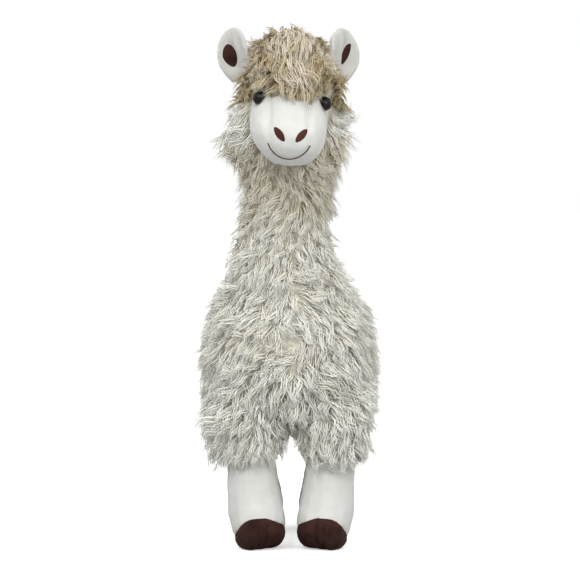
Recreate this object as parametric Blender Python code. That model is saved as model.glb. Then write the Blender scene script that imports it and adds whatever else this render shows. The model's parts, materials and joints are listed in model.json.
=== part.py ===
"""A standing plush llama, 450 mm tall, modelled as it is sewn together.

Metres, +Z up. The llama faces -Y, and the origin is on the floor under the middle of its box.
A polyester filling runs through the whole toy. Every cover is a real shell round that filling: a long-pile
wool coat over body, neck and back of the head, a short-pile face, a forelock, four wool leggings, four
short-pile shins and four hoof boots. The wool of the solids is pulled into pointed hanging locks.
"""

import math
import random
from collections import namedtuple

import bmesh
import bpy
import numpy as np
from mathutils import Matrix, Vector
from mathutils.bvhtree import BVHTree

# Fabrics and seams
SEAM_GAP = 0.0003
WOOL_DEPTH = 0.009
LOCK_REACH = 0.0068
LOCK_DROP = 0.0085
LOCK_SPACING = 0.0165
PLUSH_DEPTH = 0.003
STITCH_DEPTH = 0.0008
COAT_MESH = 0.0116

# Body filling, a rounded barrel that runs from chest to rump
BARREL_WIDTH = 0.123
BARREL_HEIGHT = 0.116
BARREL_LENGTH = 0.226
BARREL_MIDDLE_Y = 0.013
BARREL_MIDDLE_Z = 0.163

# Neck filling, widest where it runs into the shoulders
Slice = namedtuple("Slice", "height half_width half_depth x y")
NECK = (
    Slice(0.168, 0.0450, 0.0430, 0.0000, -0.035),
    Slice(0.206, 0.0470, 0.0440, -0.0010, -0.041),
    Slice(0.229, 0.0430, 0.0410, -0.0020, -0.046),
    Slice(0.248, 0.0340, 0.0355, -0.0045, -0.049),
    Slice(0.268, 0.0275, 0.0310, -0.0050, -0.052),
    Slice(0.300, 0.0260, 0.0290, -0.0020, -0.054),
    Slice(0.332, 0.0290, 0.0300, 0.0010, -0.055),
    Slice(0.372, 0.0280, 0.0280, 0.0010, -0.055),
)

# Head, in its own frame: the centre is between the ears' roots and the throat
HEAD_X = 0.0005
HEAD_Y = -0.057
HEAD_Z = 0.373
HEAD_TURN = math.radians(2)
HEAD_TILT = math.radians(3.7)
SKULL_WIDTH = 0.069
SKULL_LENGTH = 0.076
SKULL_HEIGHT = 0.091
SKULL_RISE = 0.015
CHEEK_WIDTH = 0.077
CHEEK_LENGTH = 0.050
CHEEK_HEIGHT = 0.056
CHEEK_DROP = 0.013

# Face cover, slices from the cheeks forward to the nose
Snout = namedtuple("Snout", "forward half_width half_height rise pinch")
FACE = (
    Snout(-0.002, 0.0320, 0.0330, 0.0060, 0.00),
    Snout(0.014, 0.0338, 0.0345, 0.0036, 0.02),
    Snout(0.030, 0.0345, 0.0338, -0.0010, 0.05),
    Snout(0.043, 0.0348, 0.0312, -0.0064, 0.14),
    Snout(0.056, 0.0345, 0.0284, -0.0120, 0.26),
    Snout(0.068, 0.0330, 0.0252, -0.0160, 0.32),
    Snout(0.079, 0.0294, 0.0212, -0.0184, 0.30),
    Snout(0.088, 0.0236, 0.0164, -0.0195, 0.22),
    Snout(0.0945, 0.0140, 0.0096, -0.0197, 0.08),
)
SNOUT_SQUARENESS = 2.5
NOSE_FORWARD = 0.0982

# Eyes: a black dome on a shank, held from inside by a locking washer
EYE_SPREAD = 0.0285
EYE_RISE = 0.0130
EYE_SINK = 0.0010
EYE_WIDTH = 0.0122
EYE_BULGE = 0.0046
SHANK_WIDTH = 0.0036
SHANK_LENGTH = 0.0110
WASHER_WIDTH = 0.0110
WASHER_DEPTH = 0.0016
WASHER_SETBACK = 0.0056

# Nose and mouth stitching, laid out as the front shows it, from the head's centre
NOSTRIL_SPREAD = 0.0098
NOSTRIL_RISE = -0.0169
NOSTRIL_LENGTH = 0.0150
NOSTRIL_WIDTH = 0.0066
NOSTRIL_SLOPE = math.radians(52)
MOUTH_WIDTH = 0.0372
MOUTH_RISE = -0.0255
MOUTH_SAG = 0.0125
MOUTH_THREAD = 0.0013
MOUTH_STEPS = 14
OUTLINES_AHEAD = 0.02

# Ears: a cupped, lightly filled leaf with a dark patch in its hollow. Each was sewn on at its own angle
EAR_LENGTH = 0.0455
EAR_FLAT_WIDTH = 0.040
EAR_CUP_RADIUS = 0.0165
EAR_DEPTH = 0.0060
EAR_BACK = 0.004
LINING_WIDTH = 0.0170
LINING_LENGTH = 0.0230
LINING_START = 0.0120
LINING_DEPTH = 0.0009
EarSeat = namedtuple("EarSeat", "side spread rise lean turn")
EARS = {
    "left": EarSeat(-1, 0.0405, 0.0295, math.radians(18), math.radians(36)),
    "right": EarSeat(1, 0.0385, 0.0335, math.radians(3), math.radians(48)),
}

# Forelock: a thick cap of long hair over the crown and the forehead
FORELOCK_WIDTH = 0.088
FORELOCK_LENGTH = 0.100
FORELOCK_HEIGHT = 0.102
FORELOCK_RISE = 0.0225
FORELOCK_FORWARD = 0.005
FRINGE_ANGLE = math.radians(104)
TEMPLE_ANGLE = math.radians(84)
NAPE_ANGLE = math.radians(58)
EYE_PARTING = math.radians(9)
EYE_PARTING_AT = 0.65
EYE_PARTING_SPAN = 0.16
FORELOCK_LOCK = 0.0055
FORELOCK_FALL = math.radians(9)
FORELOCK_ROWS = 9

# Legs
FRONT_LEG_Y = BARREL_MIDDLE_Y - 0.3274 * BARREL_LENGTH
HIND_LEG_Y = BARREL_MIDDLE_Y + 0.3363 * BARREL_LENGTH
LEGS_MIDDLE_X = 0.0018
HIND_OUT = 0.0022
FOOT_SPREAD = 0.0310
KNEE_SPREAD = 0.0345
HIP_SPREAD = 0.0365
TOE_IN = math.radians(13)
FOOT_FORWARD = 0.0075
SOLE_ROLL = 0.008
CLEFT_DEPTH = 0.13
CLEFT_LIFT = 0.0032
CLEFT_SPAN = math.radians(13)

Station = namedtuple("Station", "height slant half_width half_depth forward")
SOLE = Station(0.0, 0.0, 0.0125, 0.0170, 1.0)
HOOF = (
    Station(0.0006, 0.00, 0.0165, 0.0222, 1.00),
    Station(0.0028, 0.06, 0.0206, 0.0264, 1.00),
    Station(0.0072, 0.19, 0.0236, 0.0294, 1.00),
    Station(0.0150, 0.36, 0.0249, 0.0300, 0.94),
)
SHIN = (
    Station(0.0150, 0.36, 0.0249, 0.0300, 0.94),
    Station(0.0270, 0.29, 0.0247, 0.0272, 0.60),
    Station(0.0480, 0.10, 0.0228, 0.0235, 0.16),
    Station(0.0740, 0.00, 0.0208, 0.0210, 0.00),
    Station(0.0840, 0.00, 0.0205, 0.0206, 0.00),
)
THIGH = (
    Station(0.0845, 0.00, 0.0204, 0.0205, 0.00),
    Station(0.1400, 0.00, 0.0195, 0.0200, 0.00),
)
# Wool legging: its hem hangs over the shin, and its top lies against the coat
LEGGING = (
    Station(0.0745, 0.00, 0.0245, 0.0250, 0.0),
    Station(0.0850, 0.00, 0.0264, 0.0272, 0.0),
    Station(0.0960, 0.00, 0.0272, 0.0288, 0.0),
    Station(0.1070, 0.00, 0.0280, 0.0304, 0.0),
    Station(0.1185, 0.00, 0.0286, 0.0318, 0.0),
    Station(0.1300, 0.00, 0.0284, 0.0314, 0.0),
    Station(0.1420, 0.00, 0.0262, 0.0280, 0.0),
    Station(0.1500, 0.00, 0.0170, 0.0180, 0.0),
)
LEGGING_REACH = 0.0050
LEGGING_DROP = 0.0060

# Tail
TAIL_LENGTH = 0.054
TAIL_WIDTH = 0.034
TAIL_ROOT_Y = BARREL_MIDDLE_Y + 0.5133 * BARREL_LENGTH
TAIL_ROOT_Z = BARREL_MIDDLE_Z + 0.319 * BARREL_HEIGHT
TAIL_LEAN = math.radians(20)

# Facets round and along each form
ROUND_BARREL = 14
ROUND_NECK = 12
ROUND_HEAD = 14
ROUND_FACE = 20
ROUND_LEG = 14
ROUND_EAR = 12
ROUND_SMALL = 12
ROUND_FORELOCK = 20

FLAT_WITHIN = math.radians(0.4)
SEED = 7
BODY_SQUARENESS = 2.9

COLOURS = {
    "wool": ((0.70, 0.70, 0.62), 0.95),
    "plush": ((0.86, 0.86, 0.83), 0.9),
    "forelock": ((0.45, 0.36, 0.22), 0.9),
    "brown": ((0.035, 0.015, 0.012), 0.85),
    "eye": ((0.006, 0.006, 0.006), 0.08),
    "washer": ((0.75, 0.75, 0.75), 0.4),
    "thread": ((0.06, 0.035, 0.03), 0.6),
    "filling": ((0.92, 0.92, 0.92), 1.0),
}


def material(name):
    """The Principled material of a fabric or plastic, made once."""
    found = bpy.data.materials.get(name)
    if found:
        return found
    colour, roughness = COLOURS[name]
    made = bpy.data.materials.new(name)
    made.use_nodes = True
    shader = made.node_tree.nodes["Principled BSDF"]
    shader.inputs["Base Color"].default_value = (*colour, 1.0)
    shader.inputs["Roughness"].default_value = roughness
    return made


def new_object(name, mesh, finish=None):
    """Links a mesh as an object with one material."""
    made = bpy.data.objects.new(name, mesh)
    bpy.context.scene.collection.objects.link(made)
    if finish:
        mesh.materials.clear()
        mesh.materials.append(material(finish))
    return made


def loft(name, rings, finish=None, closed_loop=False, pole_start=None, pole_end=None):
    """Skins rings of equal count. The ends close with a flat cap, or with a point where a pole is given.

    With closed_loop the last ring joins the first, which makes a shell open at both ends. The diagonals
    alternate round the ring from the lower row up, so a form and its larger copy stay apart everywhere.
    """
    mesh = bpy.data.meshes.new(name)
    shape = bmesh.new()
    rows = [[shape.verts.new(point) for point in ring] for ring in rings]
    count = len(rows[0])
    pairs = list(zip(rows, rows[1:]))
    if closed_loop:
        pairs.append((rows[-1], rows[0]))
    for pair in pairs:
        lower, upper = sorted(pair, key=lambda row: sum(vert.co.z for vert in row))
        for k in range(count):
            after = (k + 1) % count
            if k % 2:
                shape.faces.new((lower[k], lower[after], upper[after]))
                shape.faces.new((lower[k], upper[after], upper[k]))
            else:
                shape.faces.new((lower[k], lower[after], upper[k]))
                shape.faces.new((lower[after], upper[after], upper[k]))
    if not closed_loop:
        for row, pole in ((rows[0], pole_start), (rows[-1], pole_end)):
            if pole is None:
                shape.faces.new(row)
                continue
            tip = shape.verts.new(pole)
            for k in range(count):
                shape.faces.new((row[k], row[(k + 1) % count], tip))
    bmesh.ops.triangulate(shape, faces=shape.faces)
    bmesh.ops.recalc_face_normals(shape, faces=shape.faces)
    shape.to_mesh(mesh)
    shape.free()
    return new_object(name, mesh, finish)


def superellipse(angle, half_a, half_b, power=2.0):
    """A point on a rounded rectangle: power 2 is an ellipse, and a higher power is squarer."""
    cos, sin = math.cos(angle), math.sin(angle)
    share = 2.0 / power
    return (
        half_a * math.copysign(abs(cos) ** share, cos),
        half_b * math.copysign(abs(sin) ** share, sin),
    )


def turns(count):
    return [2 * math.pi * k / count for k in range(count)]


def egg(name, centre, size, count, power=2.0, frame=Matrix.Identity(4), grow=0.0):
    """A closed egg with its poles along Y."""
    half = [side / 2 + grow for side in size]
    rows = count // 2
    rings = []
    for i in range(1, rows):
        share = -math.cos(math.pi * i / rows)
        reach = (1.0 - abs(share) ** power) ** (1.0 / power)
        y = half[1] * share
        ring = [superellipse(a, half[0] * reach, half[2] * reach, power) for a in turns(count)]
        rings.append([frame @ (Vector(centre) + Vector((x, y, z))) for x, z in ring])
    poles = [frame @ (Vector(centre) + Vector((0, side * half[1], 0))) for side in (-1, 1)]
    return loft(name, rings, pole_start=poles[0], pole_end=poles[1])


def barrel(grow=0.0):
    return egg(
        "barrel",
        (0, BARREL_MIDDLE_Y, BARREL_MIDDLE_Z),
        (BARREL_WIDTH, BARREL_LENGTH, BARREL_HEIGHT),
        ROUND_BARREL,
        BODY_SQUARENESS,
        grow=grow,
    )


def neck(grow=0.0):
    rings = []
    for s in NECK:
        ring = [superellipse(a, s.half_width + grow, s.half_depth + grow) for a in turns(ROUND_NECK)]
        rings.append([Vector((s.x + x, s.y + y, s.height)) for x, y in ring])
    return loft("neck", rings)


def head_frame():
    """Where the head's own axes lie: a small turn to its left and a small tilt."""
    place = Matrix.Translation((HEAD_X, HEAD_Y, HEAD_Z))
    return place @ Matrix.Rotation(HEAD_TURN, 4, "Z") @ Matrix.Rotation(HEAD_TILT, 4, "Y")


def skull(grow=0.0):
    size = (SKULL_WIDTH, SKULL_LENGTH, SKULL_HEIGHT)
    return egg("skull", (0, 0, SKULL_RISE), size, ROUND_HEAD, frame=head_frame(), grow=grow)


def cheeks(grow=0.0):
    size = (CHEEK_WIDTH, CHEEK_LENGTH, CHEEK_HEIGHT)
    return egg("cheeks", (0, 0, -CHEEK_DROP), size, ROUND_HEAD, frame=head_frame(), grow=grow)


def face_ring(snout, inset):
    """One slice of the face. Its upper half narrows to the bridge of the nose by the slice's pinch."""
    ring = []
    for angle in turns(ROUND_FACE):
        half_width, half_height = snout.half_width - inset, snout.half_height - inset
        x, z = superellipse(angle, half_width, half_height, SNOUT_SQUARENESS)
        x *= 1 - snout.pinch * max(0.0, math.sin(angle)) ** 1.5
        ring.append(Vector((x, -snout.forward, snout.rise + z)))
    return ring


def face_form(name, inset=0.0):
    """The closed form of the face at a depth under its surface, or above it where inset is negative."""
    frame = head_frame()
    tip_inset = max(inset, 0.0)
    kept = [s for s in FACE if s.half_height - inset > 0.002]
    rings = []
    for s in kept:
        squeeze = 1.0 - tip_inset / NOSE_FORWARD
        moved = s._replace(forward=s.forward * squeeze - min(inset, 0.0))
        rings.append([frame @ p for p in face_ring(moved if s.forward > 0 else s, inset)])
    nose = frame @ Vector((0, -(NOSE_FORWARD - inset), FACE[-1].rise))
    return loft(name, rings, pole_end=nose)


def leg_axis_x(height, side, leg_y):
    """The leg stands in at the knee and further in at the foot. The hind legs stand a little wider."""
    low, mid, top = SHIN[1].height, SHIN[-2].height, LEGGING[-3].height
    x = np.interp(height, (low, mid, top), (FOOT_SPREAD, KNEE_SPREAD, HIP_SPREAD))
    out = HIND_OUT if leg_y > BARREL_MIDDLE_Y else 0.0
    return LEGS_MIDDLE_X + side * (float(x) + out)


def leg_ring(station, side, leg_y, inset=0.0):
    """One ring of a leg, turned toes in. A slanted ring rises towards the toe, as the hoof's seam does."""
    centre = Vector((leg_axis_x(station.height, side, leg_y), leg_y, 0.0))
    turn = Matrix.Rotation(-side * TOE_IN, 4, "Z")
    ring = []
    for off_toe in turns(ROUND_LEG):
        angle = off_toe - math.pi / 2
        x, y = superellipse(angle, station.half_width - inset, station.half_depth - inset)
        z = station.height - station.slant * y
        if station in HOOF[:-1]:
            notch = math.exp(-((min(off_toe, 2 * math.pi - off_toe) / CLEFT_SPAN) ** 2))
            y *= 1 - CLEFT_DEPTH * notch
            z += CLEFT_LIFT * notch
        z += inset * max(0.0, 1.0 - z / SOLE_ROLL)
        ring.append(centre + turn @ Vector((x, y - FOOT_FORWARD * station.forward, z)))
    return ring


def evaluated(made):
    """A new mesh that holds the object with its modifiers done."""
    bpy.context.view_layer.update()
    graph = bpy.context.evaluated_depsgraph_get()
    return bpy.data.meshes.new_from_object(made.evaluated_get(graph))


def settle(made):
    """Applies the object's modifiers."""
    mesh = evaluated(made)
    old = made.data
    made.modifiers.clear()
    made.data = mesh
    bpy.data.meshes.remove(old)
    return made


def remove(*objects):
    for made in objects:
        bpy.data.objects.remove(made)


def grown(source, by=SEAM_GAP):
    """A copy of a piece, larger all over by a seam's gap, for cutting its neighbours."""
    mesh = evaluated(source)
    shape = bmesh.new()
    shape.from_mesh(mesh)
    shape.normal_update()
    moves = [vert.normal * by for vert in shape.verts]
    for vert, move in zip(shape.verts, moves):
        vert.co += move
    shape.to_mesh(mesh)
    shape.free()
    return new_object(source.name + "_grown", mesh)


def keep_largest(made):
    """Drops the crumbs that a cut leaves, so that the piece is one body."""
    shape = bmesh.new()
    shape.from_mesh(made.data)
    bmesh.ops.remove_doubles(shape, verts=shape.verts, dist=2e-6)
    left = set(shape.verts)
    groups = []
    while left:
        start = left.pop()
        group = {start}
        edge_of_group = [start]
        while edge_of_group:
            vert = edge_of_group.pop()
            for link in vert.link_edges:
                other = link.other_vert(vert)
                if other in left:
                    left.discard(other)
                    group.add(other)
                    edge_of_group.append(other)
        groups.append(group)
    groups.sort(key=len)
    for group in groups[:-1]:
        bmesh.ops.delete(shape, geom=list(group), context="VERTS")
    bmesh.ops.dissolve_limit(shape, angle_limit=FLAT_WITHIN, verts=shape.verts, edges=shape.edges)
    bmesh.ops.triangulate(shape, faces=shape.faces)
    shape.to_mesh(made.data)
    shape.free()
    return made


def combine(made, operation, *others):
    """One Boolean after another with each of the others, which are then removed."""
    for other in others:
        step = made.modifiers.new(operation.lower(), "BOOLEAN")
        step.operation = operation
        step.solver = "EXACT"
        step.object = other
    settle(made)
    remove(*others)
    return made


def carve(made, *cutters):
    return keep_largest(combine(made, "DIFFERENCE", *cutters))


def pull_locks(made, spacing, reach, drop, calm=None, seed=SEED):
    """Pulls vertices that lie a spacing apart out and down, into pointed locks of wool.

    calm gives, for a point, the share of the reach that its lock keeps: 0 leaves the pile flat.
    """
    chance = random.Random(seed)
    shape = bmesh.new()
    shape.from_mesh(made.data)
    bmesh.ops.triangulate(shape, faces=shape.faces)
    shape.normal_update()
    taken = []
    moves = []
    for vert in shape.verts:
        if any((vert.co - other).length < spacing for other in taken):
            continue
        share = 1.0 if calm is None else calm(vert.co)
        taken.append(vert.co.copy())
        if share <= 0:
            continue
        size = share * chance.uniform(0.7, 1.0)
        moves.append((vert, vert.normal * reach * size + Vector((0, 0, -drop * size))))
    for vert, move in moves:
        vert.co += move
    shape.to_mesh(made.data)
    shape.free()
    return made


def smoothed_union(name, forms, mesh_size):
    """Melts overlapping forms into one even skin."""
    joined = bmesh.new()
    for form in forms:
        joined.from_mesh(form.data)
    mesh = bpy.data.meshes.new(name)
    joined.to_mesh(mesh)
    joined.free()
    remove(*forms)
    made = new_object(name, mesh)
    melt = made.modifiers.new("melt", "REMESH")
    melt.mode = "VOXEL"
    melt.voxel_size = mesh_size
    relax = made.modifiers.new("relax", "SMOOTH")
    relax.factor = 0.5
    relax.iterations = 3
    return settle(made)


def finish_with(made, finish):
    made.data.materials.clear()
    made.data.materials.append(material(finish))
    made.data.shade_smooth()
    made.data.set_sharp_from_angle(angle=math.radians(50))
    return made


LEGS = {
    "front_left": (-1, FRONT_LEG_Y),
    "front_right": (1, FRONT_LEG_Y),
    "hind_left": (-1, HIND_LEG_Y),
    "hind_right": (1, HIND_LEG_Y),
}


def leg_core(side, leg_y, inset):
    """The filling of one leg from the sole to inside the barrel, at a depth under the covers."""
    rings = [leg_ring(s, side, leg_y, inset) for s in (SOLE, *HOOF, *SHIN[1:-1])]
    rings += [leg_ring(s, side, leg_y, inset) for s in THIGH]
    return loft("leg_core", rings)


def filling_forms(inset):
    """The forms whose sum is the filling. A smaller inset gives the cavity that it fills."""
    grow = PLUSH_DEPTH + SEAM_GAP - inset
    forms = [barrel(grow), neck(grow), skull(grow), face_form("face_core", inset)]
    forms += [leg_core(side, y, inset) for side, y in LEGS.values()]
    return forms


def cavity():
    """The filling and the seam's gap round it, for cutting the covers."""
    forms = filling_forms(PLUSH_DEPTH)
    return combine(forms[0], "UNION", *forms[1:])


def eye_frame(side):
    """The eye's axes where it sits on the face, with +Z out of the eye, square to the fabric."""
    face = face_form("seat")
    shape = bmesh.new()
    shape.from_mesh(face.data)
    surface = BVHTree.FromBMesh(shape)
    frame = head_frame()
    ahead = frame @ Vector((side * EYE_SPREAD, -2 * NOSE_FORWARD, EYE_RISE))
    seat, normal = surface.ray_cast(ahead, frame.to_3x3() @ Vector((0, 1, 0)))[:2]
    shape.free()
    remove(face)
    sunk = seat - normal * EYE_SINK
    return Matrix.Translation(sunk) @ normal.to_track_quat("Z", "X").to_matrix().to_4x4()


def turned(name, profile, frame, finish=None, count=ROUND_SMALL):
    """A solid turned round +Z from (radius, height) points, which start and end on the axis."""
    rings = []
    for radius, height in profile[1:-1]:
        ring = [Vector((radius * math.cos(a), radius * math.sin(a), height)) for a in turns(count)]
        rings.append([frame @ point for point in ring])
    poles = [frame @ Vector((0, 0, profile[k][1])) for k in (0, -1)]
    return loft(name, rings, finish, pole_start=poles[0], pole_end=poles[1])


def eye_profile(grow=0.0):
    dome, shank = EYE_WIDTH / 2 + grow, SHANK_WIDTH / 2 + grow
    points = [(0, EYE_BULGE + grow)]
    for share in (0.3, 0.6, 0.85):
        angle = share * math.pi / 2
        points.append((dome * math.sin(angle), (EYE_BULGE + grow) * math.cos(angle)))
    points += [(dome, -grow), (shank, -grow), (shank, -SHANK_LENGTH - grow), (0, -SHANK_LENGTH - grow)]
    return points


def washer_rings(frame, grow=0.0):
    outer = WASHER_WIDTH / 2 + grow
    inner = SHANK_WIDTH / 2 + SEAM_GAP
    top = -WASHER_SETBACK + grow
    bottom = -WASHER_SETBACK - WASHER_DEPTH - grow
    corners = ((inner, top), (outer, top), (outer, bottom), (inner, bottom))
    rings = []
    for radius, height in corners:
        ring = [Vector((radius * math.cos(a), radius * math.sin(a), height)) for a in turns(ROUND_SMALL)]
        rings.append([frame @ point for point in ring])
    return rings


def make_eyes():
    eyes = {}
    for side, name in ((-1, "left"), (1, "right")):
        frame = eye_frame(side)
        eyes[f"eye_{name}"] = turned(f"eye_{name}", eye_profile(), frame, "eye")
        loft(f"eye_washer_{name}", washer_rings(frame), "washer", closed_loop=True)
    return eyes


def washer_pocket(side):
    """A plain disc that clears the washer in the filling, with no hole."""
    outer = WASHER_WIDTH / 2 + SEAM_GAP
    top = -WASHER_SETBACK + SEAM_GAP
    bottom = -WASHER_SETBACK - WASHER_DEPTH - SEAM_GAP
    profile = ((0, top), (outer, top), (outer, bottom), (0, bottom))
    return turned("washer_pocket", profile, eye_frame(side))


def eye_clearance(side):
    return turned("eye_clearance", eye_profile(SEAM_GAP), eye_frame(side))


def make_filling():
    forms = filling_forms(PLUSH_DEPTH + SEAM_GAP)
    made = combine(forms[0], "UNION", *forms[1:])
    made.name = "filling"
    for side in (-1, 1):
        carve(made, washer_pocket(side), eye_clearance(side))
    return finish_with(made, "filling")


def make_face():
    made = face_form("face")
    carve(made, cavity(), *eye_rooms())
    return finish_with(made, "plush")


def stitched_patch(name, outline, finish):
    """A raised patch of stitching on the face, from its outline in the head's frame."""
    frame = head_frame()
    near, far = -(NOSE_FORWARD + OUTLINES_AHEAD), -FACE[3].forward
    rings = [[frame @ Vector((x, y, z)) for x, z in outline] for y in (near, far)]
    made = loft(name, rings)
    combine(made, "INTERSECT", face_form("stitch_top", -(SEAM_GAP + STITCH_DEPTH)))
    carve(made, face_form("stitch_bed", -SEAM_GAP))
    return finish_with(made, finish)


def make_nostrils():
    for side, name in ((-1, "left"), (1, "right")):
        outline = []
        for angle in turns(ROUND_SMALL):
            along, across = superellipse(angle, NOSTRIL_LENGTH / 2, NOSTRIL_WIDTH / 2, 1.6)
            x = along * math.cos(NOSTRIL_SLOPE) - across * math.sin(NOSTRIL_SLOPE)
            z = along * math.sin(NOSTRIL_SLOPE) + across * math.cos(NOSTRIL_SLOPE)
            outline.append((side * (NOSTRIL_SPREAD + x), NOSTRIL_RISE + z))
        stitched_patch(f"nostril_{name}", outline, "brown")


def make_mouth():
    """A smile: an arc through its two corners and its lowest point."""
    half = MOUTH_WIDTH / 2
    radius = (half * half + MOUTH_SAG * MOUTH_SAG) / (2 * MOUTH_SAG)
    span = math.asin(half / radius)
    centre_z = MOUTH_RISE - MOUTH_SAG + radius
    steps = [span * (2 * k / MOUTH_STEPS - 1) for k in range(MOUTH_STEPS + 1)]
    edges = [
        [(reach * math.sin(a), centre_z - reach * math.cos(a)) for a in steps]
        for reach in (radius + MOUTH_THREAD / 2, radius - MOUTH_THREAD / 2)
    ]
    stitched_patch("mouth_stitch", edges[0] + edges[1][::-1], "thread")


EAR_OUTLINE = ((0.0, 0.60), (0.16, 0.82), (0.36, 1.0), (0.56, 0.98), (0.74, 0.82), (0.88, 0.58), (0.96, 0.34))


def ear_frame(seat):
    """The ear's axes: +Z up the ear, -Y out of its hollow."""
    place = Matrix.Translation((seat.side * seat.spread, EAR_BACK, seat.rise))
    lean = Matrix.Rotation(seat.side * seat.lean, 4, "Y")
    return head_frame() @ place @ lean @ Matrix.Rotation(seat.side * seat.turn, 4, "Z")


def cupped(arc, out, height):
    """A point of the bent leaf: arc along its width, out towards the hollow from its middle layer."""
    bend = arc / EAR_CUP_RADIUS
    radius = EAR_CUP_RADIUS - out
    return Vector((radius * math.sin(bend), radius * math.cos(bend) - EAR_CUP_RADIUS, height))


def ear_form(name, seat, grow=0.0):
    """The filled leaf of one ear, larger all round by grow."""
    frame = ear_frame(seat)
    rings = []
    for share, width in EAR_OUTLINE:
        depth = EAR_DEPTH / 2 * (1.0 if share < 0.8 else 0.75) + grow
        ring = [superellipse(a, EAR_FLAT_WIDTH / 2 * width + grow, depth, 2.4) for a in turns(ROUND_EAR)]
        rings.append([frame @ cupped(arc, out, share * EAR_LENGTH) for arc, out in ring])
    return loft(name, rings, pole_end=frame @ Vector((0, 0, EAR_LENGTH + 2 * grow)))


def lining_form(name, seat, grow=0.0):
    """A dark leaf over the ear's hollow, still solid down to the ear's middle layer."""
    frame = ear_frame(seat)
    top = EAR_DEPTH / 2 + SEAM_GAP + LINING_DEPTH + grow
    rings = []
    for share in (0.0, 0.15, 0.4, 0.65, 0.85, 1.0):
        width = LINING_WIDTH / 2 * math.sin(math.pi * (0.12 + 0.82 * share)) ** 0.7 + grow
        height = LINING_START + share * LINING_LENGTH + grow * (2 * share - 1)
        ring = [superellipse(a, width, 1.0, 2.4) for a in turns(ROUND_EAR)]
        rings.append([frame @ cupped(arc, top if out > 0 else 0.0, height) for arc, out in ring])
    return loft(name, rings)


def make_ears():
    for name, seat in EARS.items():
        finish_with(ear_form(f"ear_{name}", seat), "plush")
        lining = lining_form(f"ear_lining_{name}", seat)
        carve(lining, ear_form("ear_room", seat, SEAM_GAP))
        finish_with(lining, "brown")


def ear_rooms():
    """The ears' and linings' forms and a seam's gap, for cutting the hair round their roots."""
    rooms = [ear_form("ear_room", seat, SEAM_GAP) for seat in EARS.values()]
    return rooms + [lining_form("lining_room", seat, SEAM_GAP) for seat in EARS.values()]


def forelock_form():
    """The closed form of the cap of hair: its rim is low in front, where the fringe hangs over the forehead.

    Every other point of a row stands out and falls towards the rim, so the rows overlap as locks do.
    """
    frame = head_frame()
    half = (FORELOCK_WIDTH / 2, FORELOCK_LENGTH / 2, FORELOCK_HEIGHT / 2)
    centre = Vector((0, -FORELOCK_FORWARD, FORELOCK_RISE))
    chance = random.Random(SEED)
    rings = []
    for i in range(1, FORELOCK_ROWS + 1):
        ring = []
        for k, angle in enumerate(turns(ROUND_FORELOCK)):
            ahead = -math.sin(angle)
            front, back = max(ahead, 0.0) ** 1.4, max(-ahead, 0.0)
            rim = TEMPLE_ANGLE + (FRINGE_ANGLE - TEMPLE_ANGLE) * front + (NAPE_ANGLE - TEMPLE_ANGLE) * back
            if ahead > 0:
                off_eye = (abs(math.cos(angle)) - EYE_PARTING_AT) / EYE_PARTING_SPAN
                rim -= EYE_PARTING * math.exp(-off_eye * off_eye)
            share = i / FORELOCK_ROWS
            stands = chance.uniform(0.7, 1.1) * share if (i + k) % 2 and i > 1 else 0.0
            polar = rim * share + FORELOCK_FALL * stands
            out = FORELOCK_LOCK * stands
            x, y = (half[0] + out) * math.cos(angle), (half[1] + out) * math.sin(angle)
            z = (half[2] + out) * math.cos(polar)
            ring.append(frame @ (centre + Vector((x * math.sin(polar), y * math.sin(polar), z))))
        rings.append(ring)
    crown = frame @ (centre + Vector((0, 0, half[2])))
    return loft("forelock", rings, pole_start=crown, pole_end=frame @ centre)


def face_room():
    """The face's form and a seam's gap, for cutting the fabrics that meet it."""
    return face_form("face_room", -SEAM_GAP)


def eye_rooms():
    return [eye_clearance(side) for side in (-1, 1)]


def make_forelock():
    made = forelock_form()
    carve(made, cavity(), face_room(), *ear_rooms(), *eye_rooms())
    return finish_with(made, "forelock")


def near_leg(point):
    """Whether a point of the coat lies where a legging joins it."""
    for side, leg_y in LEGS.values():
        across = point.x - side * HIP_SPREAD
        along = point.y - leg_y
        reach = LEGGING[5].half_depth + 2 * LEGGING_REACH
        if math.hypot(across, along) < reach and point.z < LEGGING[-1].height + LOCK_REACH:
            return True
    return False


def near_tail(point):
    return (point - Vector((0, TAIL_ROOT_Y, TAIL_ROOT_Z))).length < TAIL_WIDTH


def coat_form():
    """The closed form of the woolly body, neck and back of the head."""
    forms = [barrel(WOOL_DEPTH), neck(WOOL_DEPTH), skull(WOOL_DEPTH), cheeks(WOOL_DEPTH)]
    made = smoothed_union("coat_form", forms, COAT_MESH)
    pull_locks(
        made,
        LOCK_SPACING,
        LOCK_REACH,
        LOCK_DROP,
        lambda p: 0.0 if near_leg(p) or near_tail(p) else 1.0,
    )
    return made


def copied(made):
    return new_object(made.name, made.data.copy())


def make_coat(form):
    """The coat's shell. The face, the forelock, the ears, the eyes and the legs pass through it."""
    made = copied(form)
    made.name = "wool_coat"
    hair = forelock_form()
    forelock_room = grown(hair)
    remove(hair)
    carve(made, cavity(), face_room(), forelock_room, *ear_rooms(), *eye_rooms())
    return finish_with(made, "wool")


def legging_rings(side, leg_y):
    """The sleeve's outside from hem to top. Every other point below the top stands out and hangs."""
    rings = []
    for i, station in enumerate(LEGGING):
        ring = leg_ring(station, side, leg_y)
        axis = Vector((leg_axis_x(station.height, side, leg_y), leg_y, station.height))
        if station.height < LEGGING[-3].height:
            for k in range(i % 2, len(ring), 2):
                away = (ring[k] - axis).normalized()
                ring[k] = ring[k] + away * LEGGING_REACH + Vector((0, 0, -LEGGING_DROP))
        rings.append(ring)
    return rings


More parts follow.
